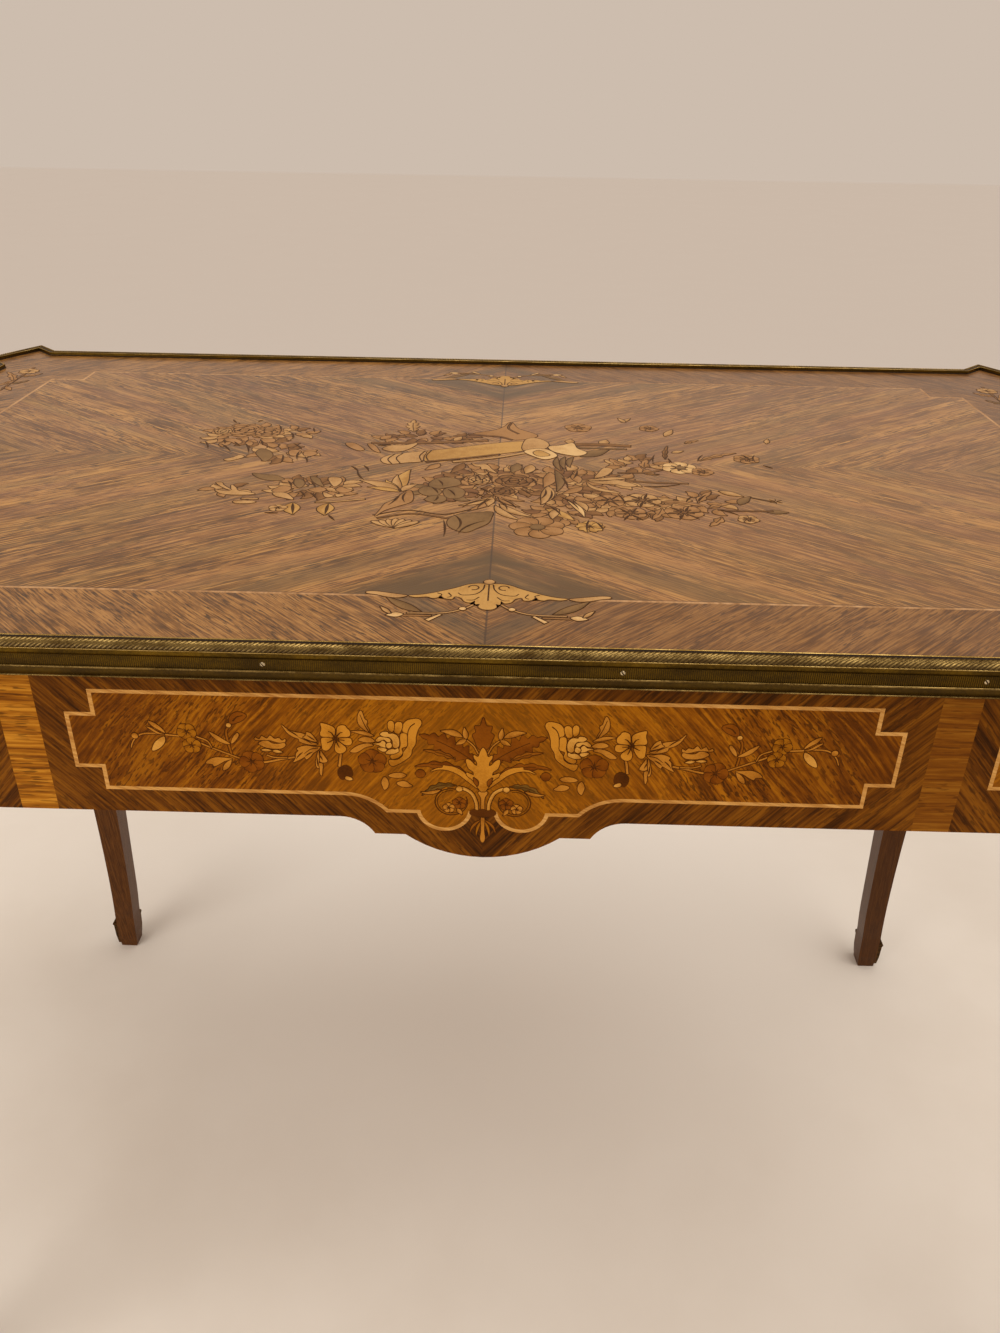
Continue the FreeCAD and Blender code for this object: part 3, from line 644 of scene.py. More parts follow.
def rim_ornament(brass, bead_brass, rubbed_and_highlight_brass, wax_and_shade):
    """Everything that runs round the rim on top of its plain solids."""
    rim_ring("rim_gadroon", gadroon_section, gadroon_step, bead_brass, True)
    rim_ring("rim_reeding", reed_section, reed_pitch / 4, brass, False)
    for name, section, material, smooth in (
        ("base_fillet", fillet_section(*base_fillet), bead_brass, True),
        ("bead_fillet", fillet_section(*bead_fillet), rubbed_and_highlight_brass, True),
        # The bead fillet and the lip round take the brighter brass: rubbed in part, painted highlight in
        # part.
        ("foot_fillet", fillet_section(*foot_fillet), bead_brass, True),
        ("lip_round", lip_section(), rubbed_and_highlight_brass, True),
        # The groove strip is painted shade; the wax line is old wax with painted shade.
        ("groove_shade", groove_shade_section(), wax_and_shade, False),
        ("wax_and_shade_line", wax_and_shade_line_section(), wax_and_shade, False),
    ):
        rim_ring("rim_" + name, lambda run: section, plain_spacing, material, smooth)


# Marquetry

def pointed(share):
    """Width of a leaf along its length."""
    return sin(pi * share ** 0.85)


def rounded(share):
    """Width of a petal: narrow root, round end."""
    if share < 0.6:
        return 0.2 + 0.8 * sin(pi / 2 * share / 0.6)
    return sqrt(max(0.0, 1 - ((share - 0.6) / 0.4) ** 2))


def notched(share):
    """Width of a petal whose end is cut in at its middle."""
    if share < 0.65:
        return 0.16 + 0.84 * sin(pi / 2 * share / 0.65)
    return 0.45 + 0.55 * sqrt(max(0.0, 1 - ((share - 0.65) / 0.35) ** 2))


def spline_span(a, b, c, d, steps):
    """Points of a smooth run from b towards c; a and d lie before and after them."""
    run = []
    for step in range(steps):
        t = step / steps
        run.append(0.5 * (2 * b + (c - a) * t + (2 * a - 5 * b + 4 * c - d) * t ** 2
                          + (3 * b - a - 3 * c + d) * t ** 3))
    return run


def smooth_line(points, steps):
    """A smooth run through a few given points."""
    if len(points) == 2:
        points = [points[0], points[0].lerp(points[1], 0.5), points[1]]
    ends = [2 * points[0] - points[1]] + points + [2 * points[-1] - points[-2]]
    line = []
    for a, b, c, d in zip(ends, ends[1:], ends[2:], ends[3:]):
        line += spline_span(a, b, c, d, steps)
    return line + [points[-1]]


def smooth_outline(points, steps):
    """A smooth closed line through a few given points."""
    line = []
    for number in range(len(points)):
        a, b, c, d = [points[(number + turn) % len(points)] for turn in (-1, 0, 1, 2)]
        line += spline_span(a, b, c, d, steps)
    return line


def grown(outline, distance):
    """A closed line moved outward."""
    after = outline[1:] + outline[:1]
    before = outline[-1:] + outline[:-1]
    area = sum(here.cross(there) for here, there in zip(outline, after))
    reach = distance if area > 0 else -distance
    moved = []
    for last, here, there in zip(before, outline, after):
        run = (there - last).normalized()
        moved.append(here + Vector((run.y, -run.x)) * reach)
    return moved


def around(count, turn):
    """Unit directions spread evenly over a full turn."""
    angles = [radians(turn) + tau * number / count for number in range(count)]
    return [Vector((cos(angle), sin(angle))) for angle in angles]


def boxes_meet(first, second):
    """True when two boxes, each as low x, low y, high x and high y, share some area."""
    return (first[0] < second[2] and second[0] < first[2]
            and first[1] < second[3] and second[1] < first[3])


class Marquetry:
    """Inlaid pieces on one flat face, drawn in millimetres: right and up as one looks at the face."""

    def __init__(self, name, body, origin, right, up, fret=0.45):
        self.name = name
        self.body = body
        self.origin = Vector(origin)
        self.right = Vector(right)
        self.up = Vector(up)
        self.out = self.right.cross(self.up)
        self.fret = fret
        self.signs = (1, -1)
        self.shift = 0.0
        self.laid = {}
        self.vertices = {}
        self.faces = {}
        self.shades = {}

    def store(self, wood):
        """The lists of points, faces and shades of one wood."""
        return [kept.setdefault(wood, []) for kept in (self.vertices, self.faces, self.shades)]

    def spot(self, place, height):
        """Where a place on the face is in space, at a height over the face."""
        return self.origin + self.right * place.x + self.up * place.y + self.out * height

    def next_lift(self, layer, line, reach):
        """Height of the next piece of a layer: one step over the pieces that it may overlap."""
        margin = reach + self.fret
        xs = [point.x + self.shift for point in line]
        ys = [point.y for point in line]
        box = (min(xs) - margin, min(ys) - margin, max(xs) + margin, max(ys) + margin)
        laid = self.laid.setdefault(layer, [])
        step = 1 + max((step for other, step in laid if boxes_meet(box, other)), default=-1)
        laid.append((box, step))
        return inlay_rise + layer * layer_rise + step * step_rise

    def moved(self, points, sign):
        """Points mirrored by the sign and shifted to the panel's middle."""
        return [Vector((sign * p.x + self.shift, p.y)) for p in points]

    def blade(self, middle, half_widths, wood, layer, sweep=0.0):
        """One thin piece along a middle line, with its dark saw line under it."""
        lift = self.next_lift(layer, middle, max(half_widths) + sweep)
        on_middle = abs(middle[0].x + middle[-1].x) < 0.01
        for sign in (1,) if on_middle else self.signs:
            line = self.moved(middle, sign)
            self.strip(line, half_widths, wood, lift, sweep)
            if self.fret and wood != "ebonised":
                wide = [half + self.fret for half in half_widths]
                first = (line[0] - line[1]).normalized() * self.fret
                last = (line[-1] - line[-2]).normalized() * self.fret
                longer = [line[0] + first] + line[1:-1] + [line[-1] + last]
                self.strip(longer, wide, "ebonised", lift - fret_drop, sweep)

    def strip(self, line, half_widths, wood, lift, sweep=0.0):
        """A closed strip along a line, five corners to a section, darker on its right side."""
        vertices, faces, shades = self.store(wood)
        start = len(vertices)
        corners = 5
        for number, (point, half) in enumerate(zip(line, half_widths)):
            before = line[max(0, number - 1)]
            after = line[min(len(line) - 1, number + 1)]
            run = (after - before).normalized()
            share = number / (len(line) - 1)
            left = point + Vector((-run.y, run.x)) * half + run * sweep * share ** 3
            right = point + Vector((run.y, -run.x)) * half + run * sweep * share ** 3
            root = 0.5 * (1 - share) ** 2
            for place, height, shade in (
                (left, lift, root), (point, lift, 0.15 + root), (right, lift, 1.0),
                (right, -inlay_sink, 1.0), (left, -inlay_sink, 1.0),
            ):
                vertices.append(self.spot(place, height))
                shades.append(shade)
        for number in range(len(line) - 1):
            low = start + corners * number
            high = low + corners
            for corner in range(corners):
                beside = (corner + 1) % corners
                faces.append((low + corner, low + beside, high + beside, high + corner))
        end = start + corners * (len(line) - 1)
        faces.append(tuple(range(start, start + corners)))
        faces.append(tuple(range(end, end + corners)))

    def patch(self, points, wood, layer=2, halved=False):
        """A flat piece with a smooth outline from its root; halved gives its right half only."""
        if halved:
            points = points + [(-x, y) for x, y in reversed(points) if x]
        outline = smooth_outline([Vector(p) for p in points], 4)
        lift = self.next_lift(layer, outline, 0.0)
        for sign in (1,) if halved else self.signs:
            line = self.moved(outline, sign)
            self.plate(line, wood, lift)
            if self.fret and wood != "ebonised":
                self.plate(grown(line, self.fret), "ebonised", lift - fret_drop)

    def patches(self, wood, outlines, layer=2):
        """Flat pieces of one wood."""
        for outline in outlines:
            self.patch(outline, wood, layer)

    def plate(self, outline, wood, lift):
        """A closed flat piece, darker about the first point of its outline."""
        vertices, faces, shades = self.store(wood)
        start = len(vertices)
        count = len(outline)
        reach = max((p - outline[0]).length for p in outline)
        for height in (lift, -inlay_sink):
            for p in outline:
                vertices.append(self.spot(p, height))
                shades.append(0.9 * (1 - (p - outline[0]).length / reach) ** 2)
        faces.append(tuple(range(start, start + count)))
        faces.append(tuple(range(start + count, start + 2 * count)))
        for number in range(count):
            beside = (number + 1) % count
            faces.append((start + number, start + beside, start + count + beside, start + count + number))

    def leaf(self, root, tip, width, wood, bow=0.0, lobes=0, shape=pointed, layer=1, sweep=0.0):
        """A leaf or petal from root to tip; bow bends it to the left of that direction."""
        root = Vector(root)
        tip = Vector(tip)
        run = (tip - root).normalized()
        left = Vector((-run.y, run.x))
        steps = max(blade_steps, 7 * lobes)
        middle = []
        halves = []
        for step in range(steps + 1):
            share = step / steps if shape is pointed else (1 - cos(pi * step / steps)) / 2
            middle.append(root.lerp(tip, share) + left * (bow * 4 * share * (1 - share)))
            cut = 0.5 + 0.5 * sin(pi * (share * lobes % 1) ** 1.7) if lobes else 1.0
            halves.append(max(thinnest, width / 2 * shape(share) * cut))
        self.blade(middle, halves, wood, layer, sweep)
        if lobes > 1:
            rib = middle[1:3 * steps // 4]
            self.blade(rib, [self.fret * 0.45] * len(rib), "ebonised", layer + 1)

    def petal(self, root, tip, width, wood, bow=0.0, layer=2):
        """A petal with a round end."""
        self.leaf(root, tip, width, wood, bow, 0, rounded, layer)

    def posy(self, at, reach, count, size, woods):
        """A cluster of small leaves and petals that turn outward from its middle."""
        for number in range(count):
            way = Vector((cos(golden_turn * number), sin(golden_turn * number)))
            spread = sqrt((number + 0.5) / count)
            root = Vector(at) + Vector((way.x * reach[0], way.y * reach[1])) * spread
            tip = root + way * size
            bow = size * (0.2 if number % 2 else -0.2)
            self.leaf(root, tip, size * 0.6, woods[number % len(woods)], bow)

    def strokes(self, wood, width, lines, layer=4):
        """Tapered engraved lines, each from one x, y to another with a bow."""
        for x_start, y_start, x_end, y_end, bow in lines:
            self.leaf((x_start, y_start), (x_end, y_end), width, wood, bow, layer=layer)

    def stem(self, points, width, wood, end_width=None, layer=1):
        """A smooth line of inlay through a few points."""
        line = smooth_line([Vector(p) for p in points], 5)
        last = width if end_width is None else end_width
        count = len(line) - 1
        halves = [(width + (last - width) * number / count) / 2 for number in range(count + 1)]
        self.blade(line, halves, wood, layer)

    def ring(self, at, radius, width, wood, start=0, sweep=360, layer=1):
        """An arc of inlay; angles in degrees from the right."""
        steps = max(6, int(abs(sweep) / 15))
        turns = [radians(start + sweep * step / steps) for step in range(steps + 1)]
        line = [Vector(at) + Vector((cos(turn), sin(turn))) * radius for turn in turns]
        self.blade(line, [width / 2] * len(line), wood, layer)

    def disc(self, at, radius, wood, layer=3):
        """A round spot."""
        at = Vector(at)
        across = Vector((radius, 0))
        turns = [pi * step / round_steps for step in range(round_steps + 1)]
        line = [at - across * cos(turn) for turn in turns]
        halves = [max(thinnest, radius * sin(turn)) for turn in turns]
        self.blade(line, halves, wood, layer)

    def flower(self, at, radius, petals, wood, heart="ebonised", turn=90.0, cut=0.0):
        """An open flower; cut is how far the end of each petal is notched, as a share of its length."""
        at = Vector(at)
        width = min(radius, 1.75 * radius * sin(pi / petals))
        shape = notched if cut else rounded
        for way in around(petals, turn):
            end = at + way * radius * (1 - cut)
            self.leaf(at + way * radius * 0.12, end, width, wood, 0, 0, shape, 2, radius * cut)
            self.stem([at + way * radius * 0.16, at + way * radius * 0.5], self.fret * 1.6, heart, 0.1, 3)
        self.disc(at, radius * 0.14, heart)

    def star(self, at, radius, rays, turn=0.0):
        """Dark engraved lines that run out from one point."""
        at = Vector(at)
        for way in around(rays, turn):
            self.leaf(at + way * radius * 0.12, at + way * radius, radius * 0.14, "ebonised", layer=3)

    def rose(self, at, radius, wood, outer, turn=0.0):
        """A full rose: broad outer petals, then shorter curved petals wrapped round the heart."""
        at = Vector(at)
        for way in around(7, turn):
            self.petal(at + way * radius * 0.35, at + way * radius, radius * 0.72, outer)
        for share, count, spread in ((0.66, 6, 54), (0.4, 4, 76), (0.16, 2, 150)):
            for number in range(count):
                start = turn + 360 * number / count + 40 * share
                self.crescent(at, radius * share, radius * 0.25, wood, start, spread)

    def crescent(self, at, radius, width, wood, start, sweep):
        """A petal seen edge on: an arc that is widest in its middle."""
        steps = 8
        line = []
        halves = []
        for step in range(steps + 1):
            angle = radians(start + sweep * step / steps)
            line.append(Vector(at) + Vector((cos(angle), sin(angle))) * radius)
            halves.append(max(0.05, width / 2 * sin(pi * (0.08 + 0.84 * step / steps))))
        self.blade(line, halves, wood, 3)

    def make(self, woods):
        """Makes one mesh of all the pieces of each wood."""
        for wood, vertices in self.vertices.items():
            solid(self.name + "_" + wood, vertices, self.faces[wood], self.shades[wood], woods[wood],
                  self.body)


def frieze_face(name, side, body):
    """The inlay of one side of the frieze."""
    origin, right = {
        "front": ((0, -frieze_face_y, 0), (1, 0, 0)),
        "back": ((0, frieze_face_y, 0), (-1, 0, 0)),
        "left": ((-frieze_face_x, 0, 0), (0, -1, 0)),
        "right": ((frieze_face_x, 0, 0), (0, 1, 0)),
    }[side]
    return Marquetry(name, body, origin, right, (0, 0, 1))


def palmette(m):
    """Lobed palmette over the tie, on the middle line of a shaped panel, with its scrolling leaves."""
    m.patch([(0, 728), (1.6, 723), (4.5, 722.5), (3.8, 719), (5.6, 717), (4.4, 713.5), (3, 709.5),
             (0, 707)], "rosewood", 1, True)
    m.leaf((5, 700), (33.6, 716.4), 15, "rosewood", 1.6, 7)
    m.leaf((9, 692.4), (36.4, 696), 5.4, "rosewood", 3, 4)
    m.disc((33.8, 691.4), 2.6, "rosewood", 2)
    m.leaf((15, 701.4), (31.6, 706.6), 3.4, "walnut", 1, 3, layer=2)
    m.stem([(2.5, 705), (5, 710), (9, 714)], 0.7, "pearwood")
    m.leaf((11, 715.5), (22.5, 719), 3.4, "pearwood", 1)
    m.leaf((9, 714), (10, 721.5), 2.6, "pearwood")
    m.leaf((9, 714), (14.5, 710.8), 2.6, "pearwood")
    m.patch([(1.5, 681.4), (6, 685), (10, 688.6), (13, 691.2), (17, 693.4), (20.5, 694.4), (24.5, 694.3),
             (28.4, 692.9), (25, 695.1), (21.9, 695.7), (21.4, 697.1), (19.4, 696.9), (16, 696.4),
             (12, 694.4), (8.6, 691), (5.4, 687), (2.4, 684.4)], "satinwood")
    m.patch([(0, 680.6), (1.6, 681.2), (5.2, 687.6), (8.2, 690.4), (8.9, 692.8), (6.6, 692), (5, 691.4),
             (5.4, 693.6), (7.8, 695.8), (9, 699.6), (8.7, 701.6), (6.6, 700.6), (4.6, 698.2),
             (3.2, 697.6), (3.4, 700), (4.9, 702.6), (4.8, 704.3), (3.2, 703.4), (2.3, 703.8),
             (1.6, 706.6), (0, 709.2)], "satinwood", 3, True)
    m.leaf((3, 684.4), (5, 689.6), 2.2, "rosewood", 0.3, layer=4)
    m.patch([(0, 667), (0.9, 667.4), (0.9, 675.6), (2.5, 679.4), (1.6, 680.6), (0, 680)], "pearwood", 2,
            True)
    m.stem([(3.2, 668), (3.6, 673), (6, 679), (10, 682), (12.4, 682)], 1.5, "boxwood", 2, 2)
    m.disc((12.8, 682), 1.7, "boxwood")
    m.ring((17.3, 673), 8.9, 0.6, "ebonised", 125, -330)
    m.ring((17.3, 673), 7.6, 0.35, "ebonised", 100, -280)
    m.leaf((14.6, 684), (33, 677), 4, "harewood", 2.8, 4)
    m.leaf((23, 681), (33.6, 679), 2, "pearwood", -1, layer=2)
    m.flower((12.8, 672.4), 3.8, 5, "rosewood")
    m.flower((18.6, 669), 3.2, 5, "pearwood")
    m.leaf((14, 668.6), (11.4, 664.6), 2.2, "pearwood")
    m.leaf((1, 661), (7, 652.6), 1.3, "walnut", 1.2)
    m.leaf((0.6, 660.6), (3.6, 650), 1.3, "tulipwood", 0.8)
    m.patch([(0, 663), (1, 662), (0.8, 654), (1.3, 649), (0.8, 646.4), (0, 645.6)], "pearwood", 2, True)
    m.patch([(0, 662.8), (3, 663.6), (6.8, 664.6), (7.2, 667), (5, 668.6), (2.6, 667.9), (0, 668.9)],
            "ebonised", 3, True)


def rose_spray(m):
    """The large half-opened rose beside the palmette, with its leaves."""
    m.flower((59.4, 698.6), 7.6, 5, "rosewood")
    m.patches("pearwood", (
        [(60, 716.5), (62, 718), (65, 721), (66, 724), (65.6, 728), (64, 730.4), (63, 728), (62.4, 725.5),
         (61, 724), (61.5, 721.5), (60.4, 719)],
        [(57.5, 711.5), (60, 713.6), (64, 713.8), (66.2, 712), (63, 710.8), (60, 710.8)],
        [(58.5, 708.8), (61, 710), (65, 709.2), (68, 707.6), (71, 704.6), (68, 704), (65, 705.8),
         (62.5, 707.6)],
        [(41.6, 690.2), (44, 691.4), (48, 691.2), (51, 689.6), (49, 688.4), (45, 688.2), (42.4, 689)],
        [(38.4, 683), (40, 684.4), (42, 686), (45, 685.8), (46.8, 684.5), (44.5, 682.6), (41, 682.2)],
        [(53.5, 688.5), (51.8, 687), (51.2, 684), (52, 681.4), (53.6, 680), (54.4, 682), (55, 685)],
    ), 1)
    m.leaf((58, 714.8), (70, 717.4), 2.2, "pearwood", 0.6)
    m.stem([(60.2, 717), (62.6, 722), (64.6, 728)], 0.6, "ebonised", 0.3, 2)
    m.patch([(49, 695.8), (45, 697.6), (41, 700.6), (38.6, 703.4), (37.8, 707), (36, 710.5), (35.6, 715),
             (34.4, 719.5), (32.6, 723), (33, 725.4), (35.2, 726.3), (39.5, 725.3), (41.8, 723),
             (42.6, 719.5), (42, 717.5), (40.2, 716), (40.2, 709), (42.5, 705), (43, 702.5), (46, 700),
             (50.5, 699.5)], "satinwood", 1)
    m.stem([(36, 723.4), (38.5, 721), (39.8, 717.5), (40.2, 712)], 0.6, "ebonised", 0.4, 2)
    m.patches("satinwood", (
        [(48.5, 700.5), (45, 701.8), (43, 704.5), (43.4, 707.5), (40.6, 709), (40.4, 712), (40.4, 716),
         (41.5, 717), (43.5, 716.6), (44, 714), (43.8, 710), (44.6, 707), (45.8, 704.5), (49.5, 702.6)],
        [(46.6, 717.4), (46.9, 720), (46.4, 722.5), (45, 724), (43, 723.6), (42.6, 721.5), (43.4, 718.6),
         (44.5, 716.8)],
        [(48.5, 717.8), (50, 719.5), (50.2, 723), (49, 724.6), (47.4, 724), (46.9, 721.5), (47.4, 718.5)],
    ))
    m.patches("boxwood", (
        [(48, 708.5), (48, 711.5), (48.6, 713.2), (50, 714.5), (52.5, 714.6), (54.5, 716), (53, 717.5),
         (50.5, 717.5), (50, 716.5), (47.5, 716.6), (45.6, 715.5), (44.6, 713), (44.6, 710.5), (45, 708.6),
         (46.5, 707.6)],
        [(57, 712.2), (55, 714.4), (53, 714.2), (50.5, 713.8), (49.2, 712.8), (49.6, 711), (51, 711.4),
         (52.5, 712.8), (54.5, 712), (56, 711.4)],
        [(58.5, 710), (55, 710.5), (53.5, 712), (52, 711), (51.8, 709), (52, 707.8), (54.5, 708.4),
         (55.5, 709.2)],
        [(51.6, 708.5), (51.4, 710), (49.5, 711), (48.6, 709.5), (49, 708), (50.5, 707.4)],
        [(56, 707.4), (54, 707.6), (51.5, 706.8), (52, 705.4), (53.6, 705.2), (55.6, 706.4)],
        [(52, 704), (50.5, 706), (48.5, 706.8), (46.8, 706.6), (45.4, 707.4), (45, 705.6), (46.5, 704.4),
         (49, 703.6)],
    ), 3)


def flower_spray(m):
    """Five-petalled flower, dark pod and the acanthus leaves beyond them."""
    m.patches("satinwood", (
        [(79, 714.2), (78.4, 716.5), (78.5, 719), (80.5, 720.6), (83, 721.6), (85.6, 722), (85.4, 719.5),
         (85.6, 717.6), (86.3, 715.6), (85.6, 713.8), (82, 713.6), (80.4, 713.2)],
        [(80, 712.4), (82, 713), (85.4, 712.8), (86, 711), (85.9, 708), (85.6, 705.6), (84, 704.8),
         (82.4, 705.6), (81, 707.6), (80, 709.6), (79.6, 711)],
        [(77.6, 714), (77.4, 717), (76.8, 719.8), (75, 721), (73, 720.9), (72, 719.4), (70.6, 717.6),
         (70.4, 715.4), (71.6, 714), (75, 713.6), (76.6, 713.4)],
        [(76.4, 712.6), (74.5, 713), (70.6, 713), (69.8, 711.5), (70, 709.6), (71.5, 708.6), (73.5, 708.8),
         (75, 710), (76.4, 711.4)],
        [(77.4, 710.8), (76, 710), (74.6, 708.6), (73.2, 707), (73.2, 705.4), (74.6, 703.8), (76.6, 703.2),
         (78.4, 704), (79, 705.8), (78.8, 708), (78.2, 710)],
    ))
    for nick in ([(78.6, 712.6), (80.2, 716), (82, 717)], [(78.6, 712.6), (81, 710.8), (83, 709.8)],
                 [(78.6, 712.6), (76, 716), (74.4, 716.6)], [(78.6, 712.6), (77, 712), (73.5, 711.6)],
                 [(78.6, 712.6), (77.4, 709), (76.6, 707)]):
        m.stem(nick, 0.9, "ebonised", 0.4, 3)
    m.patches("pearwood", (
        [(88.5, 710.4), (89.6, 713), (91.4, 715.4), (93.4, 716.2), (93.8, 714.8), (95.8, 713.4), (94, 712),
         (91, 710.8)],
        [(88, 708.8), (91, 709.8), (94, 711.4), (96, 713), (94.4, 714.4), (96, 715.4), (99.6, 716),
         (102.6, 717), (104.6, 718.6), (106.4, 720.6), (105.2, 718), (103.6, 715.4), (101, 713.2),
         (98, 711.8), (97.6, 710.2), (95, 709), (91, 708.2)],
        [(86.8, 707), (90, 707), (94, 707.6), (97, 707), (99.4, 705.6), (98.6, 704.2), (100, 702.6),
         (100.4, 700), (101, 698.4), (102, 696.8), (99.6, 697.8), (97.6, 699), (95.6, 700.2),
         (94.8, 698.8), (92.6, 700.6), (90.8, 703), (88.4, 704.8)],
        [(88, 704.6), (89, 701), (89.8, 697.6), (89.6, 694), (88.4, 693.6), (88.4, 697), (87.8, 701)],
        [(86.8, 704.6), (87.2, 700.5), (87.6, 697.8), (85.4, 697), (83.6, 698), (84.6, 700.4), (86, 703)],
        [(88.4, 696.4), (86.4, 696.2), (86.6, 692.5), (87.4, 688.4), (88.2, 690.5), (88, 693.5)],
    ))
    m.stem([(88, 706.4), (92, 705.4), (95.6, 702.6)], 0.6, "ebonised", 0.3, 3)
    m.strokes("ebonised", 0.7, (
        (89.4, 711.2, 93.6, 714.4, 0), (91, 709, 98, 712.8, 0.4), (98, 713.2, 104, 717.4, 0.4),
        (91, 703.8, 95.4, 700.6, 0.3), (96.4, 703.4, 100.4, 698.8, 0.3), (87.4, 702, 86, 698.4, 0),
        (89, 700.4, 89, 694.6, 0),
    ))
    m.stem([(76, 703), (76.6, 700), (77, 697), (77.4, 694.6)], 1.2, "pearwood")
    m.patch([(75.8, 695.2), (73.6, 695.8), (71.4, 694.6), (70.4, 692), (70.4, 689), (71.4, 688),
             (73.6, 688.4), (74.4, 687), (76, 685.8), (77.6, 687), (78.6, 689.6), (78.4, 692.4),
             (77.2, 694)], "ebonised")
    m.patch([(74.6, 687.6), (73.6, 688.4), (71.2, 687.4), (70.8, 686.2), (72.4, 685.8), (74.2, 686.4)],
            "boxwood", 3)


def carnation_spray(m):
    """Carnation, brown flower, leaves and the dark bud above."""
    m.stem([(101, 700), (108, 698.6), (114, 697), (119, 696)], 1.1, "pearwood")
    m.stem([(105, 699.6), (112, 699.6), (116, 701)], 0.7, "pearwood")
    m.patch([(121, 710.4), (121, 712), (119, 711), (117.5, 713), (115, 711.5), (113, 713.5), (111, 711.5),
             (108.5, 712), (107, 710.5), (105.2, 711.5), (105.6, 709.5), (109, 709.2), (114, 710.6)],
            "pearwood")
    m.patch([(119.6, 708.4), (117, 710), (114.5, 710), (112, 708.4), (108.6, 708.4), (106, 709),
             (105.4, 707.4), (107.4, 705.6), (111, 705.2), (115, 705.6), (118, 706.8)], "pearwood")
    m.leaf((118.6, 704.2), (113, 704), 1.6, "boxwood", layer=3)
    m.leaf((112.6, 703.8), (107.4, 703), 1.8, "boxwood", layer=3)
    m.flower((124.4, 696.4), 6.8, 5, "rosewood", turn=70)
    m.patch([(149.4, 694.6), (147.5, 697), (143.5, 698.6), (138, 698.4), (134.8, 697.8), (139, 696.4),
             (142, 694.4), (145, 692.8), (146, 694.2)], "pearwood")
    m.patch([(140.4, 690.2), (140, 693), (138, 695.6), (135.4, 697.2), (136, 694.6), (137.6, 692)],
            "pearwood")
    m.patch([(134, 720.5), (133, 725), (130, 727.4), (127, 727.4), (124.5, 725.5), (127, 722.6),
             (130, 721), (132.5, 720.2)], "rosewood")
    m.stem([(132, 722), (129.6, 724.6), (126.4, 725.6)], 0.9, "ebonised", 0.4, 3)
    m.disc((134.5, 719.4), 1.3, "boxwood")
    m.stem([(134.8, 718.4), (136.4, 714.6), (135.8, 707), (134.8, 700)], 1, "walnut")
    m.patch([(145.4, 714.8), (142, 713), (138, 710), (135, 707.6), (138, 707.8), (142, 710)], "pearwood")
    m.patch([(130.6, 714.6), (129.8, 713), (132, 709.5), (134.2, 707.8), (133.4, 711)], "pearwood")


def end_spray(m):
    """Thin stem with two small outlined flowers, ending in three leaves and a tendril."""
    m.stem([(130.5, 698.3), (140, 702.5), (149, 706.6), (157, 711), (169, 712.4)], 0.9, "pearwood")
    m.stem([(145, 704.8), (147, 709), (152.5, 711.6)], 0.7, "pearwood")
    m.flower((157.4, 714.6), 5.2, 5, "tulipwood", turn=60)
    m.flower((155.6, 706), 5, 5, "tulipwood", turn=20)
    m.patch([(177, 720.8), (174, 719.6), (171, 717), (169, 713.6), (172.4, 715.6), (175.4, 718)],
            "pearwood")
    m.patch([(178.4, 717.2), (176, 716.4), (172, 713.4), (169.4, 712.6), (173, 713), (176, 715)],
            "pearwood")
    m.patch([(170, 711.2), (169.6, 708.6), (171.4, 705.4), (174.6, 702.8), (177.2, 702), (176.8, 704.4),
             (174.4, 708.2)], "boxwood")
    m.stem([(172, 713), (180, 712.8), (184, 711), (187, 707.5), (188.6, 703.6)], 1, "pearwood", 0.5)
    m.disc((185.4, 711.2), 1.7, "pearwood")


def garland(m):
    """The whole inlay of a shaped panel."""
    palmette(m)
    rose_spray(m)
    flower_spray(m)
    carnation_spray(m)
    end_spray(m)


def flank_spray(m):
    """A short garland on a narrow panel, in keeping with the long one."""
    m.leaf((4, 704), (16, 718), 4.8, "pearwood", -1, 3)
    m.leaf((3, 694), (14, 686), 4.4, "pearwood", 1, 3)
    m.stem([(2, 694), (12, 699), (20, 704)], 0.9, "pearwood")
    m.leaf((33, 706), (52, 714), 6, "pearwood", -1.6, 4)
    m.leaf((33, 704), (49, 695), 5.6, "pearwood", 1, 4)
    m.flower((26, 707), 9, 5, "satinwood", turn=52, cut=0.14)
    m.leaf((0, 690), (0, 682), 3, "satinwood")
    m.stem([(36, 704), (46, 704.6), (55, 702)], 0.8, "pearwood")
    m.flower((53, 703), 4.6, 5, "walnut")


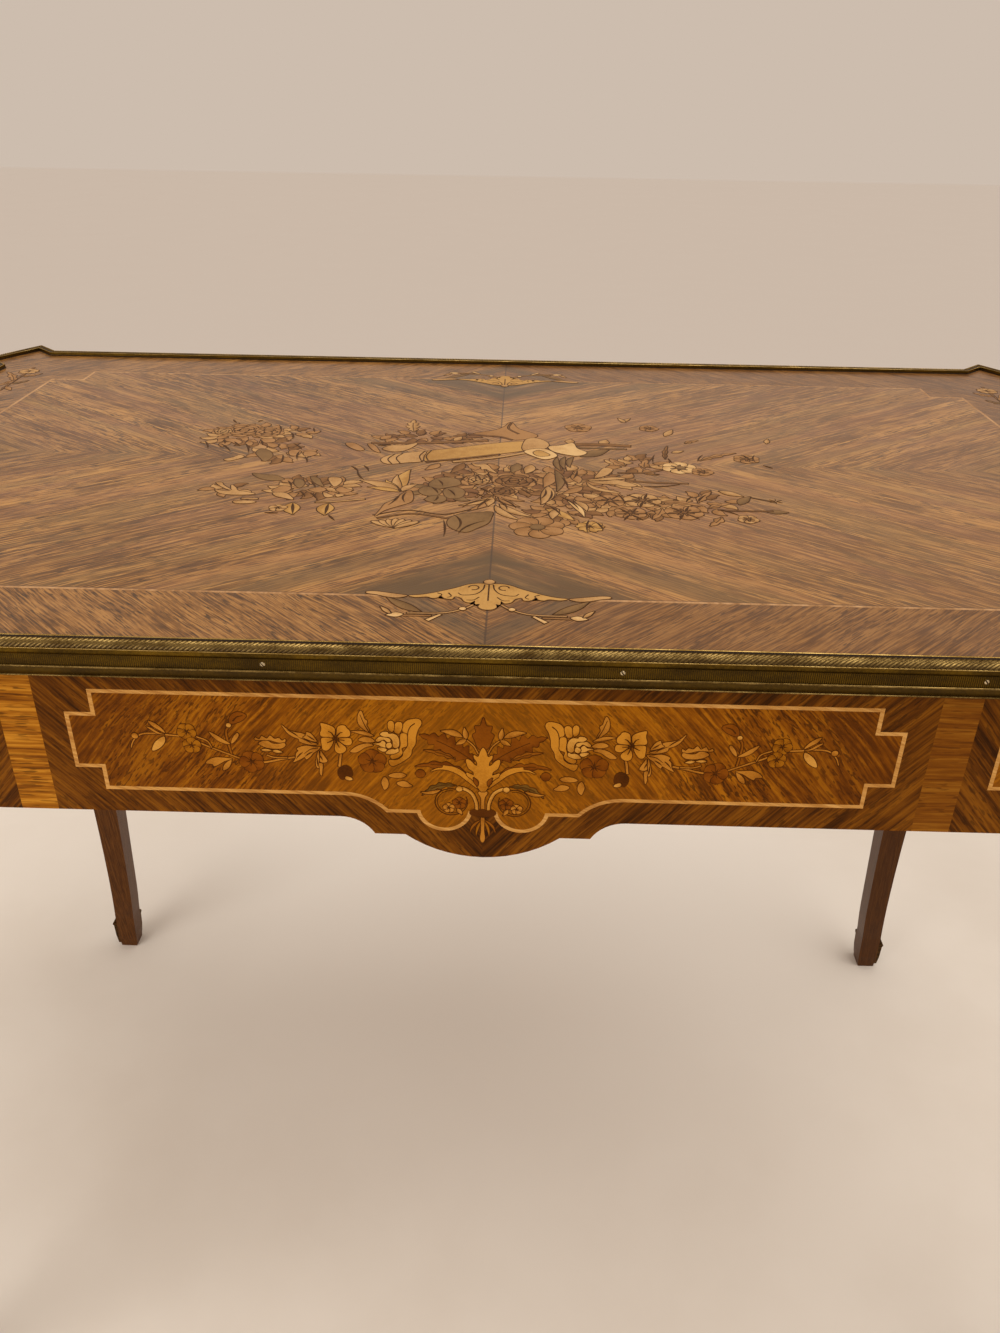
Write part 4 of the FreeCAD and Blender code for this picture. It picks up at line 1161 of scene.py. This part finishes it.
def top_palmettes(m):
    """Light palmettes that interrupt the string at the middle of both long sides."""
    for side in (-1, 1):
        def at(x, inward):
            return (x, side * (top_string_y - inward))
        m.leaf(at(36, -19), at(56, -2), 6, "harewood", side)
        m.patch([at(45, 0.2), at(50, -2.4), at(56, -1.6), at(62, 0.8), at(67.6, 2.4), at(67.8, 4.4),
                 at(63, 4.8), at(56, 3.2), at(50, 1.8)], "boxwood")
        m.patch([at(0, 17.8), at(6, 18.2), at(12, 16.4), at(18, 12), at(24, 8.4), at(31, 4.4), at(38, 1.6),
                 at(44, 0.4), at(40, -1.4), at(34, -0.4), at(31, -2), at(28, -1.2), at(26.6, 1.6),
                 at(24, -2), at(20, -2.6), at(18.6, 0.4), at(15, -1), at(12.8, -5.4), at(9.4, -6.8),
                 at(7.2, -4.2), at(6.8, -8.6), at(4.4, -8.2), at(4.9, -11.8), at(2.8, -14.4), at(0, -15)],
                "satinwood", 2, True)
        m.disc(at(0, 20.6), 3.0, "boxwood")
        m.stem([at(0, 17), at(0, -4)], 0.9, "ebonised", layer=3)
        m.ring(at(8.6, 12.6), 2.9, 0.9, "ebonised", 0, 290, 3)
        m.stem([at(2.4, 17), at(3.4, 10), at(7.4, 4), at(14.6, 2.6), at(17, 5.4)], 0.9, "ebonised", 0.6, 3)
        m.stem([at(5, 0.5), at(8, -3.4), at(12, -3.6)], 0.8, "ebonised", 0.5, 3)
        m.stem([at(22.4, 5), at(20.6, 1), at(22.6, -1)], 0.9, "ebonised", 0.5, 3)
        m.stem([at(28.6, 4.6), at(26, 2.8), at(26.6, 0)], 0.9, "ebonised", 0.5, 3)
        m.stem([at(6, -7), at(13, -14.5), at(24, -20), at(43, -21)], 1.2, "boxwood", 0.8)
        m.stem([at(30, -23.6), at(46, -24)], 0.9, "pearwood")
        m.disc(at(13.4, -14.4), 1.8, "holly")
        m.stem([at(25, -22), at(31.6, -29)], 1.3, "holly", 2.4)
        m.leaf(at(45, -22.6), at(54, -24), 5, "holly")
        m.leaf(at(52, -22), at(58, -14), 2.6, "boxwood")


def top_corner_sprays(m):
    """A flowering twig in each corner of the border."""
    for side in (-1, 1):
        def at(x, y):
            return (x, side * y)
        m.stem([at(449, 165), at(450, 195), at(452, 247)], 1.4, "walnut")
        m.leaf(at(450, 196), at(470, 229), 8, "pearwood", 2, 3)
        m.leaf(at(450, 200), at(458, 180), 6, "pearwood", 0, 2)
        m.leaf(at(451, 214), at(436, 226), 7, "pearwood", 2, 3)
        m.leaf(at(449, 188), at(438, 200), 6, "harewood", 1, 2)
        m.flower(at(451, 233), 9, 5, "boxwood", cut=0.14)
        m.leaf(at(449, 178), at(440, 166), 5, "pearwood")
        m.leaf(at(449, 168), at(456, 156), 4, "boxwood")


def top_trophy(m):
    """Quiver, arrow and flaming torch, with the cloth hung over them."""
    m.posy((-60, 48), (34, 8), 22, 12, ("rosewood", "walnut", "pearwood"))
    m.leaf((-94, 40), (-87, 50), 8, "pearwood", layer=2)
    m.leaf((-36, 40), (-31, 51), 6, "boxwood", layer=2)
    m.leaf((-70, 62), (-73, 95), 11, "boxwood", 1, 4)
    m.patch([(-22, 60), (-6, 70), (2, 80), (8, 94), (14, 76), (29, 60), (24, 50), (10, 46), (0, 54),
             (-12, 56)], "pearwood", 1)
    m.stem([(8, 92), (6, 76), (14, 62)], 0.9, "walnut", layer=2)
    m.stem([(-26, 58), (-10, 55), (0, 53), (9, 46)], 2.4, "rosewood", 1, 2)
    m.stem([(-100, 30), (-60, 33), (-10, 43)], 3.4, "walnut", 4.4)
    m.stem([(58, 37), (80, 38), (102, 36)], 7, "walnut", 5)
    m.stem([(60, 29), (98, 28)], 2.2, "harewood")
    m.leaf((62, 8), (84, 25), 12, "harewood")
    m.patch([(-90, 16), (-84, 25), (-74, 26), (-65, 32), (-67, 23), (-73, 13), (-81, 10)], "boxwood")
    m.leaf((-95, 25), (-85, 27), 3, "ebonised", layer=3)
    m.patch([(-56, 3), (-54, -12), (-40, -7), (-20, 1), (0, 10), (18, 19), (24, 28), (20, 41), (8, 40),
             (-8, 34), (-28, 25), (-44, 18), (-54, 13)], "satinwood")
    m.patch([(-57, 0), (-58, -12), (-68, -15), (-82, -19), (-88, -10), (-84, 0), (-72, 7), (-57, 12)],
            "boxwood")
    for top, middle, foot in (((-52, 15), (-55, 1), (-52, -12)), ((-57, 13), (-60, 0), (-57, -13)),
                              ((-73, 7), (-77, -5), (-73, -17)), ((-79, 4), (-83, -8), (-79, -19))):
        m.stem([top, middle, foot], 1.0, "ebonised", layer=4)
    m.stem([(-34, -11), (-16, -5), (2, 3), (20, 14)], 3.2, "boxwood", layer=3)
    m.stem([(-54, -12), (-28, -3), (0, 9)], 1.6, "walnut", layer=4)
    m.patch([(18, 20), (20, 46), (28, 51), (36, 43), (38, 32), (32, 22)], "boxwood", 3)
    m.patch([(28, 24), (37, 22), (44, 8), (35, -1), (26, 6), (19, 17)], "holly", 4)
    m.patch([(38, 30), (48, 34), (57, 40), (60, 27), (67, 17), (60, 9), (50, 12), (41, 19)], "holly", 4)
    m.patch([(30, 20), (36, 14), (38, 8), (30, 6), (26, 14)], "satinwood", 5)


def top_left_flowers(m):
    """Roses, leaves and bell flowers on the left of the trophy."""
    leaves = ("pearwood", "boxwood", "pearwood", "walnut")
    m.posy((-200, 44), (28, 22), 34, 13, leaves)
    m.posy((-164, 2), (18, 14), 16, 13, leaves)
    m.posy((-128, -72), (24, 14), 30, 13, leaves)
    m.posy((-166, 50), (12, 14), 10, 11, leaves)
    m.posy((-186, -80), (10, 6), 6, 11, leaves)
    m.patches("pearwood", (
        [(-154, -78), (-149, -71), (-143, -74), (-144, -81), (-149, -84), (-154, -82)],
        [(-130, -77), (-123, -72), (-118, -77), (-123, -82)],
        [(-109, -70), (-104, -74), (-100, -77), (-105, -82), (-111, -77)],
        [(-215, 33), (-208, 33), (-201, 26), (-203, 20), (-209, 25), (-214, 28)],
        [(-187, 34), (-178, 35), (-176, 28), (-182, 25), (-186, 29)],
        [(-196, 28), (-192, 24), (-192, 17), (-197, 21)],
        [(-160, 6), (-155, 9), (-151, 5), (-152, -4), (-157, -4)],
        [(-148, 5), (-142, 6), (-138, 1), (-142, -5), (-147, -3)],
        [(-120, 28), (-113, 28), (-104, 14), (-108, 11), (-116, 19)],
        [(-103, 28), (-97, 24), (-91, 7), (-97, 13)],
    ))
    m.patches("boxwood", (
        [(-194, -81), (-188, -83), (-183, -82), (-184, -77), (-185, -71), (-181, -76), (-178, -82),
         (-172, -84), (-165, -88), (-173, -90), (-183, -90), (-190, -87)],
        [(-197, -67), (-193, -73), (-187, -79), (-183, -81), (-188, -75), (-191, -71), (-193, -67)],
        [(-176, -102), (-168, -101), (-161, -103), (-166, -106), (-174, -106)],
        [(-153, -85), (-146, -84), (-141, -89), (-137, -97), (-144, -94), (-150, -91)],
        [(-120, -52), (-112, -52), (-110, -61), (-113, -70), (-117, -63)],
        [(-119, -82), (-115, -85), (-111, -89), (-116, -91)], [(-110, -85), (-104, -86), (-108, -90)],
        [(-204, -17), (-199, -12), (-195, -6), (-191, -10), (-195, -16), (-200, -20)],
    ))
    m.patches("harewood", (
        [(-133, -50), (-127, -54), (-124, -62), (-121, -70), (-126, -66), (-131, -58)],
        [(-143, -56), (-138, -58), (-135, -66), (-137, -74), (-142, -66)],
        [(-176, -46), (-168, -48), (-158, -50), (-151, -58), (-160, -60), (-170, -55)],
        [(-182, 10), (-174, 4), (-170, -8), (-173, -19), (-178, -12), (-184, 0)],
    ), 1)
    m.rose((-206, 56), 17, "pearwood", "pearwood", 10)
    m.rose((-186, 52), 13, "pearwood", "pearwood", 40)
    m.rose((-222, 52), 9, "boxwood", "pearwood", 0)
    for root, tip in (((-136, -103), (-132, -124)), ((-112, -103), (-111, -124))):
        m.leaf(root, tip, 11, "satinwood", -1)
        m.leaf(root, tip, 2.2, "ebonised", layer=3)
    m.flower((-144, -113), 6, 5, "boxwood")
    m.stem([(-121, -101), (-110, -99.5), (-89, -93)], 1.6, "boxwood")
    m.stem([(-172, -97), (-161, -97)], 1.8, "boxwood")
    m.strokes("ebonised", 1.6, (
        (-109, -123, -103, -133, 0), (-151, -122, -142, -122, 0), (-200, 80, -197, 84, 1),
        (-163, -4, -161, -22, 1), (-152, 6, -150, -14, -1), (-146, -6, -142, -20, 1),
        (-217, 30, -213, 20, 1), (-207, 26, -200, 16, 0), (-188, 32, -184, 20, 1), (-230, 26, -223, 8, 1),
        (-216, 20, -204, 2, 1), (-197, 22, -190, 0, 1), (-160, 24, -151, 10, 1), (-108, -26, -101, -38, 1),
        (-99, -24, -94, -36, 1), (-102, -36, -95, -54, -1), (-180, 70, -176, 56, 0),
        (-152, 66, -149, 54, 0), (-168, 52, -163, 38, 1), (-222, 84, -217, 76, 0),
        (-148, -60, -143, -74, 1), (-132, -60, -126, -74, 1), (-128, -84, -122, -94, 1),
        (-136, -80, -130, -92, 1),
    ))


def top_middle_flowers(m):
    """The thick of the bouquet, below the quiver."""
    leaves = ("pearwood", "walnut", "boxwood", "pearwood", "pearwood", "rosewood")
    m.posy((0, -52), (34, 28), 52, 14, leaves)
    m.posy((48, -60), (16, 36), 34, 14, leaves)
    m.posy((46, -108), (16, 16), 18, 12, leaves)
    m.posy((-38, -70), (16, 18), 20, 13, ("harewood", "rosewood", "pearwood"))
    for root, tip, width, wood, bow in (
        ((-66, -76), (-64, -31), 10, "satinwood", 3), ((-66, -76), (-72, -43), 6, "boxwood", 2),
        ((-67, -76), (-79, -54), 6, "satinwood", 1), ((-68, -76), (-97, -56), 10, "boxwood", -3),
        ((-67, -77), (-90, -69), 6, "satinwood", -1), ((-65, -76), (-56, -62), 6, "boxwood", 2),
        ((0, -80), (-24, -101), 6, "boxwood", 3), ((-1, -82), (-18, -110), 6, "pearwood", 3),
        ((-3, -84), (-5, -101), 6, "boxwood", 0), ((2, -82), (16, -101), 5, "pearwood", -2),
        ((3, -80), (19, -90), 5, "pearwood", -2), ((0, -100), (17, -125), 6, "boxwood", -3),
        ((3, -97), (25, -119), 6, "boxwood", -3), ((38, -30), (33, -62), 9, "pearwood", 2),
        ((36, -60), (31, -96), 9, "boxwood", 2), ((44, 4), (46, -26), 4, "harewood", -2),
        ((50, 6), (49, -22), 4, "harewood", -2), ((56, 6), (53, -18), 4, "harewood", -2),
        ((42, -26), (42, -70), 6, "harewood", 3), ((49, -88), (59, -117), 4.4, "holly", 2),
        ((54, -88), (61, -106), 5, "boxwood", 2), ((34, -104), (52, -124), 8, "satinwood", 1),
        ((42, -104), (38, -122), 6, "boxwood", -1), ((24, -14), (20, -34), 8, "boxwood", 1),
        ((14, -12), (10, -32), 8, "harewood", 1), ((60, -60), (46, -74), 7, "pearwood", 1),
        ((54, -34), (58, -52), 7, "pearwood", 1), ((-44, -16), (-53, -30), 7, "pearwood", 1),
        ((-26, -14), (-34, -36), 7, "walnut", 1), ((-30, -50), (-20, -62), 6, "pearwood", 1),
    ):
        m.leaf(root, tip, width, wood, bow)
    m.patch([(-60, -74), (-57, -84), (-57, -96), (-64, -104), (-73, -113), (-78, -124), (-76, -112),
             (-74, -101), (-69, -93), (-65, -82)], "pearwood")
    m.patches("harewood", (
        [(-48, -62), (-44, -50), (-36, -46), (-28, -50), (-26, -60), (-34, -66), (-42, -70)],
        [(-50, -66), (-54, -74), (-50, -82), (-42, -84), (-38, -76), (-42, -70)],
        [(-36, -70), (-28, -66), (-22, -74), (-24, -86), (-32, -88), (-36, -80)],
        [(-44, -84), (-48, -92), (-40, -97), (-34, -92), (-36, -84)],
        [(-2, -112), (-12, -114), (-24, -118), (-30, -128), (-28, -140), (-18, -148), (-10, -140),
         (-4, -132), (-2, -122)],
    ))
    m.patch([(-20, -13), (-15, -16), (-10, -15), (-7, -19), (-5, -25), (-1, -34), (-6, -30), (-9, -26),
             (-12, -27), (-13, -21), (-17, -20)], "boxwood")
    m.rose((12, -50), 17, "walnut", "pearwood", 15)
    m.rose((-13, -50), 10, "boxwood", "pearwood", 30)
    m.rose((4, -72), 11, "walnut", "pearwood", 0)
    for tip in (-79, -74, -69, -64, -59, -54, -49):
        m.petal((-63, -143), (tip, -127 - abs(tip + 63) * 0.35), 4.6, "boxwood")
    m.stem([(-80, -122), (-58, -112), (-34, -118), (-16, -108)], 1.4, "ebonised")
    m.stem([(-76, -127), (-54, -118), (-30, -125)], 1.1, "walnut")
    m.flower((28, -137), 18, 7, "pearwood", turn=20)
    m.disc((28, -137), 4.6, "harewood", 4)
    m.flower((62, -134), 9, 5, "satinwood", cut=0.14)
    m.strokes("ebonised", 1.6, (
        (-66, -82, -72, -104, 1), (-62, -78, -61, -98, -2), (-42, -52, -38, -64, 1),
        (-46, -66, -40, -80, 1), (-34, -70, -28, -84, 1), (-40, -84, -42, -94, 1),
        (-27, -118, -24, -146, 4), (-22, -150, -6, -128, 3),
        (-33, -128, -31, -156, 1), (-16, -38, -12, -52, 1), (-8, -36, -4, -54, 1), (-22, -42, -26, -56, -1),
        (24, -42, 28, -58, 1), (-12, -66, -4, -78, 1), (16, -66, 24, -78, 1), (-18, -76, -8, -84, 1),
        (2, -86, 14, -104, 2), (1, -90, 8, -108, 2), (-3, -88, -12, -108, -2), (-2, -88, -22, -104, -3),
        (44, -80, 56, -104, 2), (36, -98, 44, -116, 1), (62, -122, 60, -144, -1), (66, -126, 70, -140, 1),
        (46, -40, 50, -62, 1), (58, -24, 54, -44, 1), (34, -66, 30, -86, 2), (38, -68, 34, -92, 2),
    ))


def top_right_flowers(m):
    """Leaves and small engraved flowers on the right of the trophy."""
    leaves = ("pearwood", "boxwood", "pearwood", "walnut")
    m.posy((76, -50), (16, 20), 18, 13, leaves)
    m.posy((98, -96), (24, 14), 26, 13, leaves)
    m.posy((104, -8), (16, 14), 14, 13, leaves)
    m.posy((140, -86), (22, 14), 12, 12, leaves)
    m.patches("boxwood", (
        [(66, -48), (76, -47), (86, -44), (95, -50), (99, -55), (92, -57), (84, -53), (74, -52)],
        [(64, -50), (68, -58), (76, -64), (86, -70), (78, -69), (70, -65), (65, -58)],
        [(70, -40), (73, -30), (78, -18), (84, -20), (82, -28), (77, -36)],
        [(64, -44), (72, -42), (84, -38), (92, -40), (84, -43), (74, -45)],
    ))
    for root, tip, width, wood, bow, lobes in (
        ((112, -86), (140, -92), 8, "pearwood", 2, 3), ((138, -86), (150, -64), 7, "pearwood", 1, 2),
        ((144, -96), (160, -86), 6, "pearwood", 1, 2), ((182, -100), (196, -101), 7, "harewood", 0, 0),
        ((166, -88), (176, -72), 7, "harewood", 1, 0), ((156, -62), (171, -72), 7, "boxwood", 0, 0),
        ((100, 100), (108, 112), 4, "boxwood", 0, 0), ((103, 100), (98, 112), 4, "boxwood", 0, 0),
        ((132, 64), (140, 82), 6, "boxwood", 0, 0), ((146, 46), (157, 54), 5, "pearwood", 1, 2),
        ((133, 22), (142, 27), 5, "boxwood", 0, 0), ((152, 4), (182, 24), 7, "pearwood", 2, 3),
        ((97, 0), (98, 11), 6, "boxwood", 0, 0), ((54, 40), (56, 50), 7, "boxwood", 0, 0),
        ((80, 39), (84, 51), 8, "boxwood", 0, 0), ((126, 6), (131, 38), 4, "walnut", 1, 3),
        ((94, -12), (84, 4), 9, "pearwood", 1, 2), ((108, -16), (112, 4), 8, "pearwood", 1, 2),
        ((211, 50), (214, 62), 4, "boxwood", 0, 0), ((112, -98), (104, -118), 7, "pearwood", 1, 2),
        ((150, -112), (140, -128), 7, "pearwood", 1, 2), ((70, -100), (62, -84), 7, "boxwood", 1, 2),
        ((56, -70), (72, -78), 6, "boxwood", 1, 2), ((66, -78), (70, -100), 6, "pearwood", 1, 0),
    ):
        m.leaf(root, tip, width, wood, bow, lobes)
    m.stem([(88, -28), (108, -26), (120, -20)], 1.4, "walnut")
    m.stem([(92, -44), (110, -47), (136, -48)], 2.4, "walnut", 1.2)
    m.stem([(150, -99), (166, -100), (186, -99)], 1.2, "walnut")
    m.stem([(176, -74), (192, -82)], 1.6, "ebonised")
    m.flower((134, -14), 13, 6, "holly", "harewood", 20)
    m.disc((135, -14), 3.4, "harewood", 4)
    for at, radius, petals, wood in (
        ((78, -86), 11, 5, "pearwood"), ((100, -84), 13, 6, "boxwood"), ((90, -108), 11, 6, "pearwood"),
        ((126, -105), 13, 6, "pearwood"), ((167, -115), 7, 5, "boxwood"), ((63, 82), 11, 5, "pearwood"),
        ((121, 84), 8, 5, "pearwood"), ((188, 10), 10, 6, "pearwood"), ((150, -22), 8, 5, "pearwood"),
    ):
        m.flower(at, radius, petals, wood, "walnut", radius * 8)
    for at, radius in (
        ((101, -84), 15), ((90, -110), 13), ((126, -106), 14), ((192, -80), 5), ((78, -86), 12),
    ):
        m.star(at, radius, 6, radius * 5)
    m.strokes("ebonised", 1.4, (
        (104, -56, 130, -50, -2), (118, -30, 108, -28, 0), (186, 20, 189, 2, 2), (196, 20, 194, 2, -2),
        (198, -4, 204, -10, 0), (150, 2, 156, 18, 1), (116, -2, 119, 16, 1), (128, 8, 130, -2, 0),
        (130, -86, 136, -74, 1), (138, -84, 146, -70, 1), (150, -98, 162, -108, 1), (84, -72, 88, -94, 1),
    ))


def top_face(name, back):
    """Inlay on the top, drawn about a point on its middle line."""
    return Marquetry(name, "table", (0, back, top_surface), (1, 0, 0), (0, 1, 0), fret=0.75)


def top_marquetry(woods):
    """The inlay of the top: its border, then the bouquet, back pieces first."""
    border = top_face("top_border_inlay", 0)
    top_palmettes(border)
    top_corner_sprays(border)
    border.make(woods)
    bouquet = top_face("top_bouquet", bouquet_back)
    bouquet.signs = (1,)
    top_left_flowers(bouquet)
    top_right_flowers(bouquet)
    top_middle_flowers(bouquet)
    top_trophy(bouquet)
    bouquet.make(woods)


def frieze_marquetry(woods):
    """The inlay of the show side, both ends and the three drawers."""
    front = frieze_face("front_inlay", "front", "table")
    garland(front)
    for middle in (-flank_middle, flank_middle):
        front.shift = middle
        flank_spray(front)
    front.make(woods)
    for side in ("left", "right"):
        end = frieze_face(side + "_inlay", side, "table")
        garland(end)
        end.make(woods)
    for name, middle in zip(DRAWERS, (flank_middle, 0, -flank_middle)):
        face = frieze_face(name + "_drawer_inlay", "back", name + "_drawer")
        face.shift = middle
        if name == "centre":
            garland(face)
        else:
            flank_spray(face)
        face.make(woods)


# Finishes of the frame's own nodes

def dress(node, *materials):
    """Gives a node its materials, the first of them on every face."""
    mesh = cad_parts[node].data
    mesh.materials.clear()
    for material in materials:
        mesh.materials.append(material)
    return mesh


def string_line(reach, apron, grow):
    """Right half of a panel's string outline, from the top middle round to the bottom middle."""
    out = reach - string_inset + grow
    low = frieze_bottom + string_inset - grow
    high = frieze_top - string_top_inset + grow
    inner = out - panel_notch
    points = [(0, high), (inner, high), (inner, high - panel_notch), (out, high - panel_notch),
              (out, low + panel_notch), (inner, low + panel_notch), (inner, low)]
    if not apron:
        return points + [(0, low)]
    shelf = frieze_bottom + lunette_shelf_rise - grow
    run = lunette_outer_x - lunette_shelf_x
    drop = string_inset - lunette_shelf_rise
    shoulder = (run ** 2 + drop ** 2) / (2 * drop)
    turn = atan2(run, shoulder - drop)
    for step in range(7):
        angle = turn * step / 6
        points.append((lunette_outer_x - (shoulder - grow) * sin(angle),
                       low - (shoulder - grow) * (1 - cos(angle))))
    middle = (lunette_start_x + lunette_tie_x) / 2
    half_chord = (lunette_start_x - lunette_tie_x) / 2
    radius = (half_chord ** 2 + lunette_depth ** 2) / (2 * lunette_depth)
    centre_z = shelf + radius - lunette_depth
    swing = atan2(half_chord, radius - lunette_depth)
    for step in range(13):
        angle = swing * (1 - step / 6)
        points.append((middle + radius * sin(angle), centre_z - radius * cos(angle)))
    return points + [(0, shelf)]


def inside(points, x, z):
    """True when a point of the right half lies inside a string outline."""
    crossings = 0
    for (x0, z0), (x1, z1) in zip(points, points[1:] + points[:1]):
        if (z0 > z) != (z1 > z) and x < x0 + (x1 - x0) * (z - z0) / (z1 - z0):
            crossings += 1
    return crossings % 2 == 1


def finish_veneer(node, along, middle, reach, apron, border, string, panel):
    """Gives each face of a mixed veneer node the wood of the sheet that it belongs to."""
    mesh = dress(node, border, string, panel)
    outer = string_line(reach, apron, string_half)
    inner = string_line(reach, apron, -string_half)
    for face in mesh.polygons:
        x = abs(face.center[along] / MM - middle)
        z = face.center.z / MM
        face.material_index = inside(outer, x, z) + inside(inner, x, z)


def finish_rim(node, brass, rubbed_and_highlight_brass):
    """Dull brass outside; the low face that looks inward over the top takes the brighter brass as a painted
    reflection.
    """
    mesh = dress(node, brass, rubbed_and_highlight_brass)
    for face in mesh.polygons:
        # Painted reflection: faces turned inward above the veneer take the brighter brass.
        inward = face.normal.x * face.center.x + face.normal.y * face.center.y < 0
        face.material_index = int(inward and face.center.z / MM > top_surface)


def table_finishes():
    """Makes every finish and gives it to its nodes and to the rim's ornament."""
    quarters = top_field_wood()
    top_border = top_border_wood()
    panel = panel_wood("tulipwood_panels", False)
    end_panel = panel_wood("tulipwood_end_panels", True)
    border = border_wood("kingwood_border", False)
    end_border = border_wood("kingwood_end_border", True)
    band = band_wood()
    string = string_wood("boxwood_string", (tint(166, 113, 54), tint(192, 140, 72), tint(210, 160, 92)))
    top_string = string_wood("top_string", (tint(146, 106, 66), tint(176, 134, 92), tint(196, 154, 110)))
    leg = leg_wood()
    long_oak = oak("oak_along_length", True)
    deep_oak = oak("oak_along_depth", False)
    brass = metal("rim_brass", tint(62, 44, 4), tint(112, 86, 26), 0.42, 0.03, base_fillet[1])
    bead_brass = metal("bead_brass", tint(76, 56, 20), tint(160, 134, 80), 0.3, 0.05)
    # Brighter brass: rubbed edges in part, and painted highlight and reflection on the lip, the bead fillet
    # and the rim's inward face.
    rubbed_and_highlight_brass = metal("rubbed_and_highlight_brass", tint(132, 102, 44), tint(206, 176, 108), 0.3, 0.04)
    pin_brass = pin_metal()
    bronze = metal("sabot_bronze", tint(34, 22, 12), tint(96, 66, 34), 0.55, 0.08)
    lock_brass = metal("lock_brass", tint(92, 70, 32), tint(176, 142, 74), 0.45, 0.05)
    steel = metal("screw_steel", tint(60, 58, 56), tint(140, 138, 134), 0.5, 0.1)
    # Dark finish for the wax line and the groove strip: old wax and painted shade.
    wax_and_shade = inlay_wood("wax_and_shade", (tint(20, 12, 6), tint(36, 24, 14)))
    by_node = {
        "top_board": long_oak, "top_field_veneer": quarters, "top_crossbanding": top_border,
        "top_stringing": top_string, "rim_pins": pin_brass, "front_frieze_board": long_oak,
        "front_frieze_panels": panel, "front_frieze_crossbanding": border,
        "front_frieze_stringing": string, "front_frieze_bands": band, "divider_bands": band,
        "drawer_top_rail": long_oak, "drawer_bottom_rail": long_oak, "drawer_divider_left": deep_oak,
        "drawer_divider_right": deep_oak, "middle_runners": deep_oak, "end_runners": deep_oak,
        "drawer_kickers": deep_oak, "glue_blocks": long_oak, "top_screws": steel,
    }
    for side in ("front", "back", "left", "right", "corners"):
        finish_rim("rim_" + side, brass, rubbed_and_highlight_brass)
    for corner in CORNERS:
        by_node["leg_" + corner] = leg
        by_node["sabot_" + corner] = bronze
    for side in ("left", "right"):
        by_node[side + "_frieze_board"] = deep_oak
        by_node[side + "_frieze_stringing"] = string
        finish_veneer(side + "_frieze_veneer", 1, 0, end_reach, True, end_border, string, end_panel)
    for name, middle in zip(DRAWERS, (-flank_middle, 0, flank_middle)):
        for piece in ("front", "back", "bottom"):
            by_node[name + "_drawer_" + piece] = long_oak
        by_node[name + "_drawer_sides"] = deep_oak
        by_node[name + "_drawer_lock"] = lock_brass
        by_node[name + "_drawer_escutcheon"] = lock_brass
        centre = name == "centre"
        finish_veneer(name + "_drawer_veneer", 0, middle, centre_reach if centre else flank_reach, centre,
                      border, string, panel)
    for node, material in by_node.items():
        dress(node, material)
    rim_ornament(brass, bead_brass, rubbed_and_highlight_brass, wax_and_shade)


# Stage, light and camera

def stage():
    """A wide plain floor."""
    reach = 12.0
    mesh = bpy.data.meshes.new("floor")
    mesh.from_pydata([(-reach, -reach, 0), (reach, -reach, 0), (reach, reach, 0), (-reach, reach, 0)],
                     [], [(0, 1, 2, 3)])
    mesh.materials.append(floor_finish())
    floor = bpy.data.objects.new("floor", mesh)
    bpy.context.scene.collection.objects.link(floor)


def lamp(name, place, aim, size, power, colour):
    """A round soft lamp turned to what it lights."""
    light = bpy.data.lights.new(name, "AREA")
    light.shape = "DISK"
    light.size = size
    light.energy = power
    light.color = colour
    made = bpy.data.objects.new(name, light)
    made.location = place
    made.rotation_euler = (Vector(aim) - Vector(place)).to_track_quat("-Z", "Y").to_euler()
    bpy.context.scene.collection.objects.link(made)


def lighting():
    """Soft light from above, a pale surround and one lamp at the front left."""
    world = bpy.data.worlds.new("studio")
    world.use_nodes = True
    background = world.node_tree.nodes["Background"]
    background.inputs["Color"].default_value = tint(205, 189, 174)
    bpy.context.scene.world = world
    ceiling = bpy.data.lights.new("ceiling", "SUN")
    ceiling.energy = 1.4
    ceiling.angle = radians(50)
    ceiling.color = (1.0, 0.95, 0.88)
    made = bpy.data.objects.new("ceiling", ceiling)
    made.rotation_euler = (radians(12), radians(14), 0)
    bpy.context.scene.collection.objects.link(made)
    lamp("front", place=(-1.5, -1.3, 1.4), aim=(0, 0, 0.65), size=1.4, power=17, colour=(1.0, 0.94, 0.86))


def camera():
    """The camera of the photograph."""
    scene = bpy.context.scene
    data = bpy.data.cameras.new("photo_camera")
    data.sensor_fit = "VERTICAL"
    data.sensor_height = 36.0
    data.lens = focal_pixels * data.sensor_height / picture_size[1]
    level = Vector((sin(camera_yaw), cos(camera_yaw), 0))
    flat_right = Vector((cos(camera_yaw), -sin(camera_yaw), 0))
    upright = Vector((0, 0, 1))
    forward = level * cos(camera_pitch) - upright * sin(camera_pitch)
    tilted = level * sin(camera_pitch) + upright * cos(camera_pitch)
    right = flat_right * cos(camera_roll) + tilted * sin(camera_roll)
    up = tilted * cos(camera_roll) - flat_right * sin(camera_roll)
    turn = Matrix((right, up, -forward)).transposed().to_4x4()
    made = bpy.data.objects.new("photo_camera", data)
    made.matrix_world = Matrix.Translation(camera_place) @ turn
    scene.collection.objects.link(made)
    scene.camera = made
    scene.view_settings.view_transform = "Standard"


table_finishes()
frieze_marquetry({wood: inlay_wood("frieze_" + wood, shades) for wood, shades in FRIEZE_INLAY.items()})
top_marquetry({wood: inlay_wood("top_" + wood, shades) for wood, shades in TOP_INLAY.items()})
stage()
lighting()
camera()
